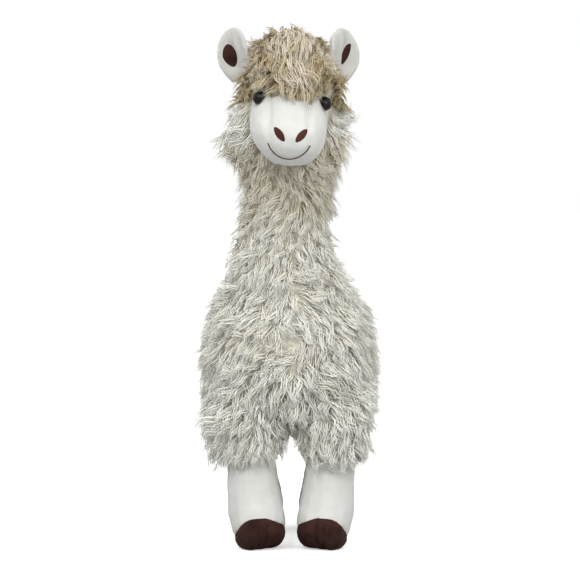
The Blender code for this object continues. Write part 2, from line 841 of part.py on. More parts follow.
def make_leggings(coat_room):
    """A wool sleeve for each thigh: it steps in over the shin's top edge, and its hem hangs in points."""
    for name, (side, leg_y) in LEGS.items():
        seam = SHIN[-1]._replace(height=SHIN[-1].height + SEAM_GAP)
        bed = SHIN[-2]._replace(height=LEGGING[0].height + 0.002)
        thigh = [s._replace(height=s.height + 2 * SEAM_GAP) for s in THIGH]
        sleeve = [leg_ring(s, side, leg_y, PLUSH_DEPTH) for s in thigh]
        over_shin = [leg_ring(s, side, leg_y, -SEAM_GAP) for s in (seam, bed)]
        rings = [*legging_rings(side, leg_y), *sleeve[::-1], *over_shin]
        made = loft(f"legging_{name}", rings, closed_loop=True)
        carve(made, copied(coat_room))
        finish_with(made, "wool")


def make_shins():
    for name, (side, leg_y) in LEGS.items():
        first = SHIN[0]._replace(height=SHIN[0].height + SEAM_GAP)
        stations = (first, *SHIN[1:])
        outer = [leg_ring(s, side, leg_y) for s in stations]
        inner = [leg_ring(s, side, leg_y, PLUSH_DEPTH) for s in stations]
        finish_with(loft(f"shin_{name}", [*outer, *inner[::-1]], closed_loop=True), "plush")


def make_hooves():
    for name, (side, leg_y) in LEGS.items():
        outer = [leg_ring(s, side, leg_y) for s in (SOLE, *HOOF)]
        inner = [leg_ring(s, side, leg_y, PLUSH_DEPTH) for s in (SOLE, *HOOF)]
        finish_with(loft(f"hoof_{name}", [*outer, *inner[::-1]]), "brown")


def make_tail(coat_room):
    """A short tuft that hangs from the rump."""
    frame = Matrix.Translation((0, TAIL_ROOT_Y, TAIL_ROOT_Z)) @ Matrix.Rotation(TAIL_LEAN, 4, "X")
    half = TAIL_WIDTH / 2
    profile = ((0.0, 0.55), (0.18, 0.92), (0.4, 1.0), (0.62, 0.86), (0.82, 0.55))
    rings = []
    for i, (down, width) in enumerate(profile):
        ring = []
        for k, angle in enumerate(turns(12)):
            stand = 1.18 if (i + k) % 2 else 1.0
            reach = half * width * stand
            across, deep = reach * math.cos(angle), reach * math.sin(angle)
            ring.append(frame @ Vector((across, deep, -down * TAIL_LENGTH)))
        rings.append(ring)
    made = loft("tail", rings, pole_end=frame @ Vector((0, 0, -TAIL_LENGTH)))
    carve(made, copied(coat_room))
    return finish_with(made, "wool")


def main():
    for old in list(bpy.data.objects):
        bpy.data.objects.remove(old)
    make_filling()
    make_eyes()
    make_face()
    make_ears()
    make_nostrils()
    make_mouth()
    make_forelock()
    form = coat_form()
    make_coat(form)
    coat_room = grown(form)
    make_leggings(coat_room)
    make_shins()
    make_hooves()
    make_tail(coat_room)
    remove(form, coat_room)


main()
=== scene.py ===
"""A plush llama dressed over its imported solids.

Long-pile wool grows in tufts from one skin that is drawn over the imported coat, leggings and filling. The short-pile
face, ears, shins and hoof boots are smooth padded covers with sewn seams, and the eyes are glossy domes.
"""

import json
import logging
import math
import random
from dataclasses import dataclass, field
from enum import Enum

import bmesh
import bpy
import numpy as np
from mathutils import Matrix, Vector, noise
from mathutils.bvhtree import BVHTree

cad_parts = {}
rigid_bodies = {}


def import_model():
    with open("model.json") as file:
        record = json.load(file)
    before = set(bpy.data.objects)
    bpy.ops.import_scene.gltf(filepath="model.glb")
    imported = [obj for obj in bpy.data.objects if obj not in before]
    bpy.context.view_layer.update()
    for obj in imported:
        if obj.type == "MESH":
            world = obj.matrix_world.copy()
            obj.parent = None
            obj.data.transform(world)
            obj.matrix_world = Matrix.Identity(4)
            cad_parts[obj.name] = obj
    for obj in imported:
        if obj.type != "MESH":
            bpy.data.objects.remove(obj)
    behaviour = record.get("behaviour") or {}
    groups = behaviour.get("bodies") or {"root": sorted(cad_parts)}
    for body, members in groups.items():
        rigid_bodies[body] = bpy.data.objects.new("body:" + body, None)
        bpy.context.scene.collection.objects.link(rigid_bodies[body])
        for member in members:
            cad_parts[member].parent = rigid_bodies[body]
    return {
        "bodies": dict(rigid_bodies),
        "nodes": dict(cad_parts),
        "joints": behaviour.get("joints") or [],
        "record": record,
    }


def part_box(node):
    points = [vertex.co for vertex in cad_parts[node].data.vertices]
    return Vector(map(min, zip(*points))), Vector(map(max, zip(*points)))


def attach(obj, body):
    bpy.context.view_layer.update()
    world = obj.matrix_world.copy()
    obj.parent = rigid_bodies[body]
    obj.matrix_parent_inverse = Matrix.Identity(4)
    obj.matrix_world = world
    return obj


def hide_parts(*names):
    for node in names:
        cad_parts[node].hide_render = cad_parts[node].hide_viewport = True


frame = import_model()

logger = logging.getLogger("llama")

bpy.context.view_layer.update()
BODY = "root"
LEGS = ("front_left", "front_right", "hind_left", "hind_right")
HEAD = (
    Matrix.Translation((0.0005, -0.057, 0.373))
    @ Matrix.Rotation(math.radians(2.0), 4, "Z")
    @ Matrix.Rotation(math.radians(3.7), 4, "Y")
)
HIP_LINE = 0.02
HEM = 0.0765
HEM_RISE_LEFT = 0.0045
LEGGING_TOP = 0.118
FLANK_TOP = 0.185
CHEST_TOP = 0.190
NECK_BOTTOM = 0.262
NECK_TOP = 0.335
OVER_ALL = 0.5
BELLY = (0.105, 0.130, 0.150, 0.175)
BARREL = (0.085, 0.120, 0.235, 0.285)
RUFF_BOTTOM = 0.325
RUFF_BLEND = 0.02
RUFF_MIDDLE = 0.372
WOOL_EDGE = 0.0865
WOOL_OUTWARD = 0.93
WOOL_LEAST = 0.010
SWIRL_SEED = 5


class Side(Enum):
    """The viewer's left or right of the llama."""

    LEFT = -1
    RIGHT = 1

    @property
    def word(self) -> str:
        """The side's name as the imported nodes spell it."""
        return self.name.lower()


def solid_copy(name: str, *nodes: str) -> bpy.types.Object:
    """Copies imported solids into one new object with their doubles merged.

    Args:
        name: The new object's name.
        nodes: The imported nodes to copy.

    Returns:
        The linked object.
    """
    shape = bmesh.new()
    for node in nodes:
        shape.from_mesh(frame["nodes"][node].data)
    bmesh.ops.remove_doubles(shape, verts=shape.verts, dist=1e-6)
    mesh = bpy.data.meshes.new(name)
    shape.to_mesh(mesh)
    shape.free()
    return linked(name, mesh)


def linked(name: str, mesh: bpy.types.Mesh) -> bpy.types.Object:
    """Links a mesh to the scene as an object at the origin and returns the object."""
    made = bpy.data.objects.new(name, mesh)
    bpy.context.scene.collection.objects.link(made)
    return made


def settled(made: bpy.types.Object) -> bpy.types.Object:
    """Turns an object's modifiers into plain mesh.

    Args:
        made: An object with modifiers.

    Returns:
        The same object, with the evaluated mesh and no modifier.
    """
    bpy.context.view_layer.update()
    graph = bpy.context.evaluated_depsgraph_get()
    mesh = bpy.data.meshes.new_from_object(made.evaluated_get(graph))
    old = made.data
    made.modifiers.clear()
    made.data = mesh
    mesh.name = made.name
    bpy.data.meshes.remove(old)
    return made


def remeshed(made: bpy.types.Object, voxel: float, rounds: int, swell: float = 0.0) -> bpy.types.Object:
    """Melts a solid into one even skin, relaxes it and moves it out along its normals.

    Args:
        made: The solid to melt.
        voxel: Edge length of the new skin.
        rounds: How many times the skin is relaxed.
        swell: How far the skin moves out, or in where it is negative.

    Returns:
        The same object with the new skin.
    """
    melt = made.modifiers.new("melt", "REMESH")
    melt.mode = "VOXEL"
    melt.voxel_size = voxel
    melt.use_smooth_shade = True
    relax = made.modifiers.new("relax", "SMOOTH")
    relax.factor = 0.5
    relax.iterations = rounds
    grow = made.modifiers.new("grow", "DISPLACE")
    grow.mid_level = 0.0
    grow.strength = swell
    return settled(made)


def tree_of(*nodes: str) -> BVHTree:
    """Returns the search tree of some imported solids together."""
    shape = bmesh.new()
    for node in nodes:
        shape.from_mesh(frame["nodes"][node].data)
    found = BVHTree.FromBMesh(shape)
    shape.free()
    return found


def eased(value: float, start: float, end: float) -> float:
    """Returns how far value has come from start to end, from 0 to 1, with soft ends."""
    share = min(1.0, max(0.0, (value - start) / (end - start)))
    return share * share * (3.0 - 2.0 * share)


def band(value: float, start: float, full: float, fading: float, gone: float) -> float:
    """Returns 1 where value lies from full to fading and 0 outside start and gone, with soft ends."""
    return eased(value, start, full) * (1.0 - eased(value, fading, gone))


def ridge(value: float, width: float) -> float:
    """Returns 1 where value is 0, and falls off softly over width on both sides."""
    return math.exp(-((value / width) ** 2))


def move_to(mesh: bpy.types.Mesh, places: list[Vector]) -> None:
    """Moves a mesh's corners once all their new places are known."""
    for vert, place in zip(mesh.vertices, places):
        vert.co = place


def swirl(point: Vector, grain: float) -> Vector:
    """Returns a smooth random vector that changes over the distance grain."""
    return noise.noise_vector(point / grain)


class Graph:
    """Builds a node tree from short calls.

    Args:
        tree: The tree that the nodes go into.
    """

    def __init__(self, tree: bpy.types.NodeTree) -> None:
        self.tree = tree

    def node(self, kind: str, inputs: dict | None = None, **settings: object) -> bpy.types.Node:
        """Adds a node.

        Args:
            kind: The node's Blender type.
            inputs: Socket name or number to a value, or to an output socket to link.
            settings: Properties of the node.

        Returns:
            The new node.
        """
        made = self.tree.nodes.new(kind)
        for key, value in settings.items():
            setattr(made, key, value)
        self.feed(made, inputs or {})
        return made

    def feed(self, node: bpy.types.Node, inputs: dict) -> None:
        """Sets a node's inputs to values, or links them to output sockets."""
        for key, value in inputs.items():
            if isinstance(value, bpy.types.NodeSocket):
                self.tree.links.new(value, node.inputs[key])
            else:
                node.inputs[key].default_value = value

    def maths(self, operation: str, first: object, second: object = 0.0, third: object = 0.0) -> bpy.types.NodeSocket:
        """Adds a Math node of one operation and returns its output."""
        kind = "ShaderNodeMath"
        return self.node(kind, {0: first, 1: second, 2: third}, operation=operation).outputs[0]

    def vector(self, operation: str, first: object, second: object = (0.0, 0.0, 0.0)) -> bpy.types.NodeSocket:
        """Adds a Vector Math node of one operation and returns its output."""
        return self.node("ShaderNodeVectorMath", {0: first, 1: second}, operation=operation).outputs[0]

    def scaled(self, vector: object, scale: object) -> bpy.types.NodeSocket:
        """Adds a Vector Math node that scales a vector and returns its output."""
        return self.node("ShaderNodeVectorMath", {0: vector, "Scale": scale}, operation="SCALE").outputs[0]

    def attribute(self, name: str, data_type: str = "FLOAT") -> bpy.types.NodeSocket:
        """Adds a Named Attribute node and returns its output."""
        made = self.node("GeometryNodeInputNamedAttribute", {"Name": name}, data_type=data_type)
        return made.outputs["Attribute"]


@dataclass(frozen=True)
class Finish:
    """A material that is made once.

    Attributes:
        name: The material's name.
    """

    name: str

    def build(self) -> bpy.types.Material:
        """Makes the material, or returns it if it exists."""
        if self.name in bpy.data.materials:
            return bpy.data.materials[self.name]
        made = bpy.data.materials.new(self.name)
        made.use_nodes = True
        self.dress(Graph(made.node_tree), made.node_tree.nodes["Principled BSDF"])
        return made

    def dress(self, graph: Graph, shader: bpy.types.Node) -> None:
        """Sets the surface shader's inputs and adds the nodes that feed them."""
        raise NotImplementedError


@dataclass(frozen=True)
class StrandFinish(Finish):
    """Fur whose colour runs from root to tip, and differs from strand to strand.

    The strands' own map gives the tone across and the place along the strand upwards.

    Attributes:
        pale: Colours of the palest strands from root to tip.
        deep: Colours of the darkest strands from root to tip.
        roughness: Surface roughness.
        sheen: Share of soft light at grazing angles.
        glow: Share of light that passes through the fibres.
    """

    pale: tuple[tuple[float, tuple[float, float, float]], ...]
    deep: tuple[tuple[float, tuple[float, float, float]], ...]
    roughness: float = 0.7
    sheen: float = 0.25
    glow: float = 0.15

    def dress(self, graph: Graph, shader: bpy.types.Node) -> None:
        """Sets the surface shader's inputs and adds the nodes that feed them."""
        place = graph.node("ShaderNodeUVMap", uv_map="OFBake").outputs["UV"]
        parts = graph.node("ShaderNodeSeparateXYZ", {0: place})
        ramps = []
        for stops in (self.pale, self.deep):
            ramp = graph.node("ShaderNodeValToRGB", {0: parts.outputs["Y"]})
            fill_ramp(ramp, stops)
            ramps.append(ramp.outputs["Color"])
        mixed = graph.node("ShaderNodeMixRGB", {0: parts.outputs["X"], 1: ramps[0], 2: ramps[1]})
        given = {"Base Color": mixed.outputs[0], "Roughness": self.roughness, "Specular IOR Level": 0.25}
        soft = {"Sheen Weight": self.sheen, "Sheen Roughness": 0.4, "Subsurface Weight": self.glow}
        depth = {"Subsurface Radius": (1.0, 0.92, 0.75), "Subsurface Scale": 0.003}
        graph.feed(shader, {**given, **soft, **depth})


def fill_ramp(ramp: bpy.types.Node, stops: tuple[tuple[float, tuple[float, float, float]], ...]) -> None:
    """Sets a colour ramp's stops.

    Args:
        ramp: The ramp node.
        stops: Place and colour of each stop, in rising order.
    """
    elements = ramp.color_ramp.elements
    while len(elements) < len(stops):
        elements.new(0.5)
    for element, (place, colour) in zip(elements, stops):
        element.position = place
        element.color = (*colour, 1.0)


@dataclass(frozen=True)
class PileFinish(Finish):
    """Short-pile plush: a fine nap with faint flecks, and random patches of painted sheen and shade where the pile
    would catch the light differently.

    Attributes:
        colour: The pile's colour.
        shade: The darker colour that the fine grain flecks towards and that the patches of painted shade reach.
        nap: Size of the nap's grain.
        depth: How strongly the nap shows as bumps.
        roughness: Surface roughness.
        sheen: Share of soft light at grazing angles.
    """

    colour: tuple[float, float, float]
    shade: tuple[float, float, float]
    nap: float = 0.0009
    depth: float = 0.35
    roughness: float = 0.95
    sheen: float = 0.4

    def dress(self, graph: Graph, shader: bpy.types.Node) -> None:
        """Sets the surface shader's inputs and adds the nodes that feed them."""
        place = graph.node("ShaderNodeTexCoord").outputs["Object"]
        pile = graph.node("ShaderNodeGroup", {"Place": place, "Nap": self.nap}, node_tree=pile_group())
        # The mask mixes the pile's colour with its shade: fine grain flecks, and patches of painted sheen and shade.
        mixed = graph.node(
            "ShaderNodeMixRGB",
            {0: pile.outputs["Stroke"], 1: (*self.colour, 1.0), 2: (*self.shade, 1.0)},
        )
        bump = graph.node(
            "ShaderNodeBump",
            {"Strength": self.depth, "Distance": self.nap, "Height": pile.outputs["Height"]},
        )
        tinted = (*(min(1.0, channel * 4.0) for channel in self.colour), 1.0)
        given = {"Base Color": mixed.outputs[0], "Normal": bump.outputs["Normal"], "Roughness": self.roughness}
        soft = {"Sheen Weight": self.sheen, "Sheen Roughness": 0.5, "Sheen Tint": tinted, "Specular IOR Level": 0.15}
        graph.feed(shader, {**given, **soft})


def pile_group() -> bpy.types.NodeTree:
    """Returns the shader group of a short pile: its grain as a height, and as a mask its grain's flecks together with
    patches of painted sheen and shade.
    """
    name = "Short pile"
    if name in bpy.data.node_groups:
        return bpy.data.node_groups[name]
    tree = bpy.data.node_groups.new(name, "ShaderNodeTree")
    tree.interface.new_socket("Place", in_out="INPUT", socket_type="NodeSocketVector")
    tree.interface.new_socket("Nap", in_out="INPUT", socket_type="NodeSocketFloat")
    tree.interface.new_socket("Height", in_out="OUTPUT", socket_type="NodeSocketFloat")
    tree.interface.new_socket("Stroke", in_out="OUTPUT", socket_type="NodeSocketFloat")
    graph = Graph(tree)
    given = graph.node("NodeGroupInput")
    fineness = graph.maths("DIVIDE", 1.0, given.outputs["Nap"])
    grain = graph.node(
        "ShaderNodeTexNoise",
        {"Vector": given.outputs["Place"], "Scale": fineness, "Detail": 3.0, "Roughness": 0.7},
    )
    patches = graph.node(
        "ShaderNodeTexNoise",
        {"Vector": given.outputs["Place"], "Scale": 70.0, "Detail": 4.0, "Roughness": 0.6},
    )
    fleck = graph.node(
        "ShaderNodeMapRange",
        {"Value": grain.outputs[0], "From Min": 0.35, "From Max": 0.75, "To Min": 0.0, "To Max": 0.45},
    )
    # Painted sheen and shade: random patches that darken the pile as if it were stroked the other way and caught less
    # light.
    sheen_patches = graph.node(
        "ShaderNodeMapRange",
        {"Value": patches.outputs[0], "From Min": 0.35, "From Max": 0.7, "To Min": 0.0, "To Max": 0.55},
    )
    both = graph.maths("ADD", fleck.outputs[0], sheen_patches.outputs[0])
    given_out = graph.node("NodeGroupOutput")
    tree.links.new(grain.outputs[0], given_out.inputs["Height"])
    tree.links.new(both, given_out.inputs["Stroke"])
    return tree


@dataclass(frozen=True)
class GlossFinish(Finish):
    """Polished plastic.

    Attributes:
        colour: Its colour.
        roughness: Surface roughness.
    """

    colour: tuple[float, float, float]
    roughness: float

    def dress(self, graph: Graph, shader: bpy.types.Node) -> None:
        """Sets the surface shader's inputs and adds the nodes that feed them."""
        place = graph.node("ShaderNodeTexCoord").outputs["Object"]
        smears = graph.node("ShaderNodeTexNoise", {"Vector": place, "Scale": 300.0, "Detail": 2.0})
        rough = graph.node(
            "ShaderNodeMapRange",
            {"Value": smears.outputs[0], "To Min": self.roughness, "To Max": self.roughness * 2.0},
        )
        given = {"Base Color": (*self.colour, 1.0), "Roughness": rough.outputs[0], "Specular IOR Level": 0.25}
        graph.feed(shader, {**given, "Coat Weight": 0.08, "Coat Roughness": 0.04})


WOOL = StrandFinish(
    "wool strands",
    pale=((0.0, (0.91, 0.88, 0.73)), (0.35, (0.985, 0.98, 0.90)), (1.0, (0.99, 0.985, 0.935))),
    deep=((0.0, (0.62, 0.52, 0.34)), (0.35, (0.80, 0.735, 0.56)), (1.0, (0.90, 0.865, 0.73))),
    sheen=0.35,
)
FORELOCK = StrandFinish(
    "forelock strands",
    pale=((0.0, (0.58, 0.46, 0.28)), (0.4, (0.82, 0.72, 0.55)), (1.0, (0.93, 0.86, 0.73))),
    deep=((0.0, (0.24, 0.16, 0.05)), (0.4, (0.42, 0.31, 0.12)), (1.0, (0.60, 0.48, 0.27))),
    sheen=0.15,
)
WOOL_SKIN = PileFinish("wool backing", (0.86, 0.83, 0.72), (0.70, 0.65, 0.52), nap=0.002)
WHITE_PLUSH = PileFinish("white plush", (0.68, 0.68, 0.655), (0.58, 0.58, 0.55), depth=0.5)
# A darker copy of the white plush: painted shade for the ears, whose hollows lie in shade.
SHADED_EAR_PLUSH = PileFinish("ear plush", (0.59, 0.585, 0.555), (0.485, 0.48, 0.45), depth=0.5)
# Painted sheen: the near-black shade makes strong random patches, so lighter brown stands out as the velvet's
# highlights.
BROWN_PLUSH = PileFinish("brown plush", (0.062, 0.026, 0.020), (0.004, 0.002, 0.002), sheen=0.12)
STITCHING = PileFinish("brown thread", (0.085, 0.030, 0.022), (0.040, 0.016, 0.012), nap=0.0005)
FILLING = PileFinish("polyester filling", (0.92, 0.92, 0.92), (0.80, 0.80, 0.80), nap=0.003)
EYE_BLACK = GlossFinish("eye black", (0.006, 0.005, 0.004), 0.14)
WASHER_WHITE = GlossFinish("washer plastic", (0.75, 0.75, 0.75), 0.3)


@dataclass(frozen=True)
class TuftShape:
    """The shapes of tuft that a stretch of fur is made of, one unit long.

    Attributes:
        name: Name of the collection that holds the shapes.
        variants: How many different tufts there are.
        strands: Strands in a tuft.
        rings: Rings along a strand, root included.
        width: Width of a strand at its root.
        flatness: Thickness of a strand as a share of its width.
        spread: How far apart the strands' roots stand.
        gather: How far apart their tips stand.
        bend: How far a strand turns over its length, in radians.
        wave: How far a strand swings from side to side.
        seed: Seed of the chance that sets the shapes apart.
    """

    name: str
    variants: int
    strands: int
    rings: int
    width: float
    flatness: float
    spread: float
    gather: float
    bend: float
    wave: float
    seed: int

    def build(self) -> bpy.types.Collection:
        """Makes the tufts as objects of a new collection, one unit long, bending towards +Y."""
        chance = random.Random(self.seed)
        kept = bpy.data.collections.new(self.name)
        for k in range(self.variants):
            mesh = bpy.data.meshes.new(f"{self.name}_{k}")
            self.fill(mesh, chance)
            kept.objects.link(bpy.data.objects.new(mesh.name, mesh))
        return kept

    def fill(self, mesh: bpy.types.Mesh, chance: random.Random) -> None:
        """Writes one tuft into an empty mesh.

        Args:
            mesh: The mesh to fill.
            chance: Source of the tuft's random shape.
        """
        points: list[Vector] = []
        faces: list[tuple[int, ...]] = []
        along: list[float] = []
        own: list[float] = []
        bend = self.bend * chance.uniform(0.6, 1.35)
        lock_sway = self.wave * chance.choice((-1, 1)) * chance.uniform(0.4, 1.0)
        lock_phase = chance.uniform(0.0, math.pi)
        for s in range(self.strands):
            turn = 2 * math.pi * (s + chance.uniform(-0.3, 0.3)) / self.strands
            root = Vector((math.cos(turn), math.sin(turn), 0.0)) * self.spread * chance.uniform(0.4, 1.0)
            tip_shift = Vector((math.cos(turn), math.sin(turn), 0.0)) * self.gather * chance.uniform(0.2, 1.0)
            length = chance.uniform(0.72, 1.0)
            shade = chance.uniform(-0.14, 0.14)
            sway = lock_sway + self.wave * chance.uniform(-0.25, 0.25)
            phase = lock_phase + chance.uniform(-0.4, 0.4)
            first = len(points)
            for i in range(self.rings):
                share = i / self.rings
                centre = self.path(share, length, bend, sway, phase) + root.lerp(tip_shift, share)
                half = self.width / 2 * (1.0 - share) ** 0.55 * (0.75 + 0.6 * share)
                for corner in range(3):
                    angle = turn + 2 * math.pi * corner / 3
                    points.append(centre + Vector((half * math.cos(angle), half * self.flatness * math.sin(angle), 0)))
                    along.append(share)
                    own.append(shade)
            points.append(self.path(1.0, length, bend, sway, phase) + tip_shift)
            along.append(1.0)
            own.append(shade)
            faces.append((first + 2, first + 1, first))
            for i in range(self.rings - 1):
                low, high = first + 3 * i, first + 3 * (i + 1)
                for corner in range(3):
                    after = (corner + 1) % 3
                    faces.append((low + corner, low + after, high + after, high + corner))
            top = first + 3 * (self.rings - 1)
            for corner in range(3):
                faces.append((top + corner, top + (corner + 1) % 3, len(points) - 1))
        mesh.from_pydata(points, [], faces)
        mesh.attributes.new("along", "FLOAT", "POINT").data.foreach_set("value", along)
        mesh.attributes.new("own", "FLOAT", "POINT").data.foreach_set("value", own)
        mesh.shade_smooth()

    @staticmethod
    def path(share: float, length: float, bend: float, sway: float, phase: float) -> Vector:
        """Returns the centre of a strand that bends evenly towards +Y and sways along X.

        Args:
            share: Place along the strand from 0 to 1.
            length: The strand's length.
            bend: How far it turns over its length.
            sway: How far it swings to the side.
            phase: Where in its swing it starts.
        """
        turned = bend * share
        reach = length / bend
        side = sway * (math.sin(2.2 * math.pi * share + phase) - math.sin(phase)) * share
        return Vector((side * length, reach * (1.0 - math.cos(turned)), reach * math.sin(turned)))


def geometry_tree(name: str, **inputs: str) -> bpy.types.NodeTree:
    """Makes an empty Geometry Nodes tree that turns geometry into geometry.

    Args:
        name: The tree's name.
        inputs: The kind of each further input by its label.

    Returns:
        The new tree.
    """
    tree = bpy.data.node_groups.new(name, "GeometryNodeTree")
    for label, kind in {"Geometry": "Geometry", **inputs}.items():
        tree.interface.new_socket(label, in_out="INPUT", socket_type=f"NodeSocket{kind}")
    tree.interface.new_socket("Geometry", in_out="OUTPUT", socket_type="NodeSocketGeometry")
    return tree


def tuft_tree() -> bpy.types.NodeTree:
    """Returns the Geometry Nodes tree that grows tufts over a skin.

    The skin's attributes say where and how: fleece is the share of tufts that grow, comb the way they lie, lift how
    steeply they stand, and reach their length.
    """
    name = "Tufts on a skin"
    if name in bpy.data.node_groups:
        return bpy.data.node_groups[name]
    measures = {"Spacing": "Float", "Disorder": "Float", "Variety": "Float", "Seed": "Int"}
    tree = geometry_tree(name, Tufts="Collection", **measures, Finish="Material")
    graph = Graph(tree)
    given = graph.node("NodeGroupInput").outputs
    points = graph.node(
        "GeometryNodeDistributePointsOnFaces",
        {
            "Mesh": given["Geometry"],
            "Distance Min": given["Spacing"],
            "Density Max": 4e6,
            "Density Factor": graph.attribute("fleece"),
            "Seed": given["Seed"],
        },
        distribute_method="POISSON",
    )
    lift, comb = graph.attribute("lift"), graph.attribute("comb", "FLOAT_VECTOR")
    stand = graph.scaled(points.outputs["Normal"], lift)
    lie = graph.scaled(comb, graph.maths("SUBTRACT", 1.0, lift))
    stray = graph.node(
        "FunctionNodeRandomValue",
        {0: (-1.0, -1.0, -1.0), 1: (1.0, 1.0, 1.0), "Seed": given["Seed"]},
        data_type="FLOAT_VECTOR",
    ).outputs[0]
    growth = graph.vector("ADD", graph.vector("ADD", stand, lie), graph.scaled(stray, given["Disorder"]))
    upright = graph.node("FunctionNodeAlignRotationToVector", {"Vector": growth}, axis="Z")
    inwards = graph.vector("SUBTRACT", comb, graph.scaled(points.outputs["Normal"], 0.3))
    turned = graph.node(
        "FunctionNodeAlignRotationToVector",
        {"Rotation": upright.outputs[0], "Vector": inwards},
        axis="Y",
        pivot_axis="Z",
    )
    chosen = graph.node("GeometryNodeCollectionInfo", {0: given["Tufts"], 1: True, 2: True})
    size = graph.node("FunctionNodeRandomValue", {2: 0.75, 3: 1.2, "Seed": given["Seed"]}, data_type="FLOAT")
    length = graph.maths("MULTIPLY", graph.attribute("reach"), size.outputs[1])
    instances = graph.node(
        "GeometryNodeInstanceOnPoints",
        {
            "Points": points.outputs["Points"],
            "Instance": chosen.outputs[0],
            "Pick Instance": True,
            "Rotation": turned.outputs[0],
            "Scale": length,
        },
    )
    patch = graph.node("ShaderNodeTexNoise", {"Scale": 55.0, "Detail": 2.0})
    own = graph.node("FunctionNodeRandomValue", {2: -0.28, 3: 0.28, "Seed": given["Seed"]}, data_type="FLOAT")
    shade = graph.node(
        "ShaderNodeMapRange",
        {"Value": patch.outputs[0], "From Min": 0.32, "From Max": 0.68, "To Min": -0.5, "To Max": 0.5},
    )
    varied = graph.maths("ADD", shade.outputs[0], own.outputs[1])
    # The tint shifts a tuft's tone; on the wool it carries painted shade under the chin and between the legs.
    tone = graph.maths("ADD", graph.maths("MULTIPLY_ADD", varied, given["Variety"], 0.5), graph.attribute("tint"))
    toned = graph.node(
        "GeometryNodeStoreNamedAttribute",
        {"Geometry": instances.outputs[0], "Name": "tone", "Value": tone},
        data_type="FLOAT",
        domain="INSTANCE",
    )
    real = graph.node("GeometryNodeRealizeInstances", {0: toned.outputs[0]})
    both = graph.maths("ADD", graph.attribute("tone"), graph.attribute("own"))
    across = graph.node("ShaderNodeClamp", {0: both, 1: 0.02, 2: 0.98}).outputs[0]
    upwards = graph.maths("MULTIPLY_ADD", graph.attribute("along"), 0.98, 0.01)
    where = graph.node("ShaderNodeCombineXYZ", {0: across, 1: upwards, 2: 0.0})
    mapped = graph.node(
        "GeometryNodeStoreNamedAttribute",
        {"Geometry": real.outputs[0], "Name": "OFBake", "Value": where.outputs[0]},
        data_type="FLOAT2",
        domain="CORNER",
    )
    finished = graph.node("GeometryNodeSetMaterial", {"Geometry": mapped.outputs[0], "Material": given["Finish"]})
    tree.links.new(finished.outputs[0], graph.node("NodeGroupOutput").inputs[0])
    return tree


def with_tree(made: bpy.types.Object, tree: bpy.types.NodeTree, values: dict[str, object]) -> bpy.types.Object:
    """Runs a Geometry Nodes tree on an object and keeps the plain mesh.

    Args:
        made: The object that the tree runs on.
        tree: The tree.
        values: The tree's inputs by name.

    Returns:
        The same object with the tree's result.
    """
    step = made.modifiers.new(tree.name, "NODES")
    step.node_group = tree
    for socket in tree.interface.items_tree:
        if socket.in_out == "INPUT" and socket.name in values:
            step[socket.identifier] = values[socket.name]
    return settled(made)


def placed(made: bpy.types.Object, slot: str, *stands_for: str) -> bpy.types.Object:
    """Lets a finished piece ride on the body, and hides the solids it stands for."""
    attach(made, BODY)
    if stands_for:
        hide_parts(*stands_for)
    faces = len(made.data.polygons)
    logger.info("%s: %d faces", made.name, faces)
    return made


@dataclass(frozen=True)
class EyeSeat:
    """Where an eye sits.

    Attributes:
        washer: Middle of its washer.
        axis: The way it looks.
        tip: Height of the dome's tip over the washer.
        end: Height of the shank's end over the washer.
    """

    washer: Vector
    axis: Vector
    tip: float
    end: float

    @classmethod
    def found(cls, side: Side) -> "EyeSeat":
        """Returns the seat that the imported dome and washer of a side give."""
        dome, washer = middle_of(f"eye_{side.word}"), middle_of(f"eye_washer_{side.word}")
        droop = Vector((0.0, 0.0, -0.2 if side is Side.RIGHT else 0.0))
        axis = ((dome - washer).normalized() + droop).normalized()
        heights = [axis.dot(vert.co - washer) for vert in frame["nodes"][f"eye_{side.word}"].data.vertices]
        return cls(washer, axis, max(heights), min(heights))

    def over(self, point: Vector, bulge: float = 0.005) -> tuple[float, float]:
        """Returns a point's height over the dome's foot and its distance from the axis."""
        rel = point - self.washer
        height = rel.dot(self.axis)
        return height - self.tip + bulge, (rel - self.axis * height).length


def middle_of(node: str) -> Vector:
    """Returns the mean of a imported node's corners."""
    corners = [vert.co for vert in frame["nodes"][node].data.vertices]
    return sum(corners, Vector()) / len(corners)


EYE_SEATS = tuple(EyeSeat.found(side) for side in Side)


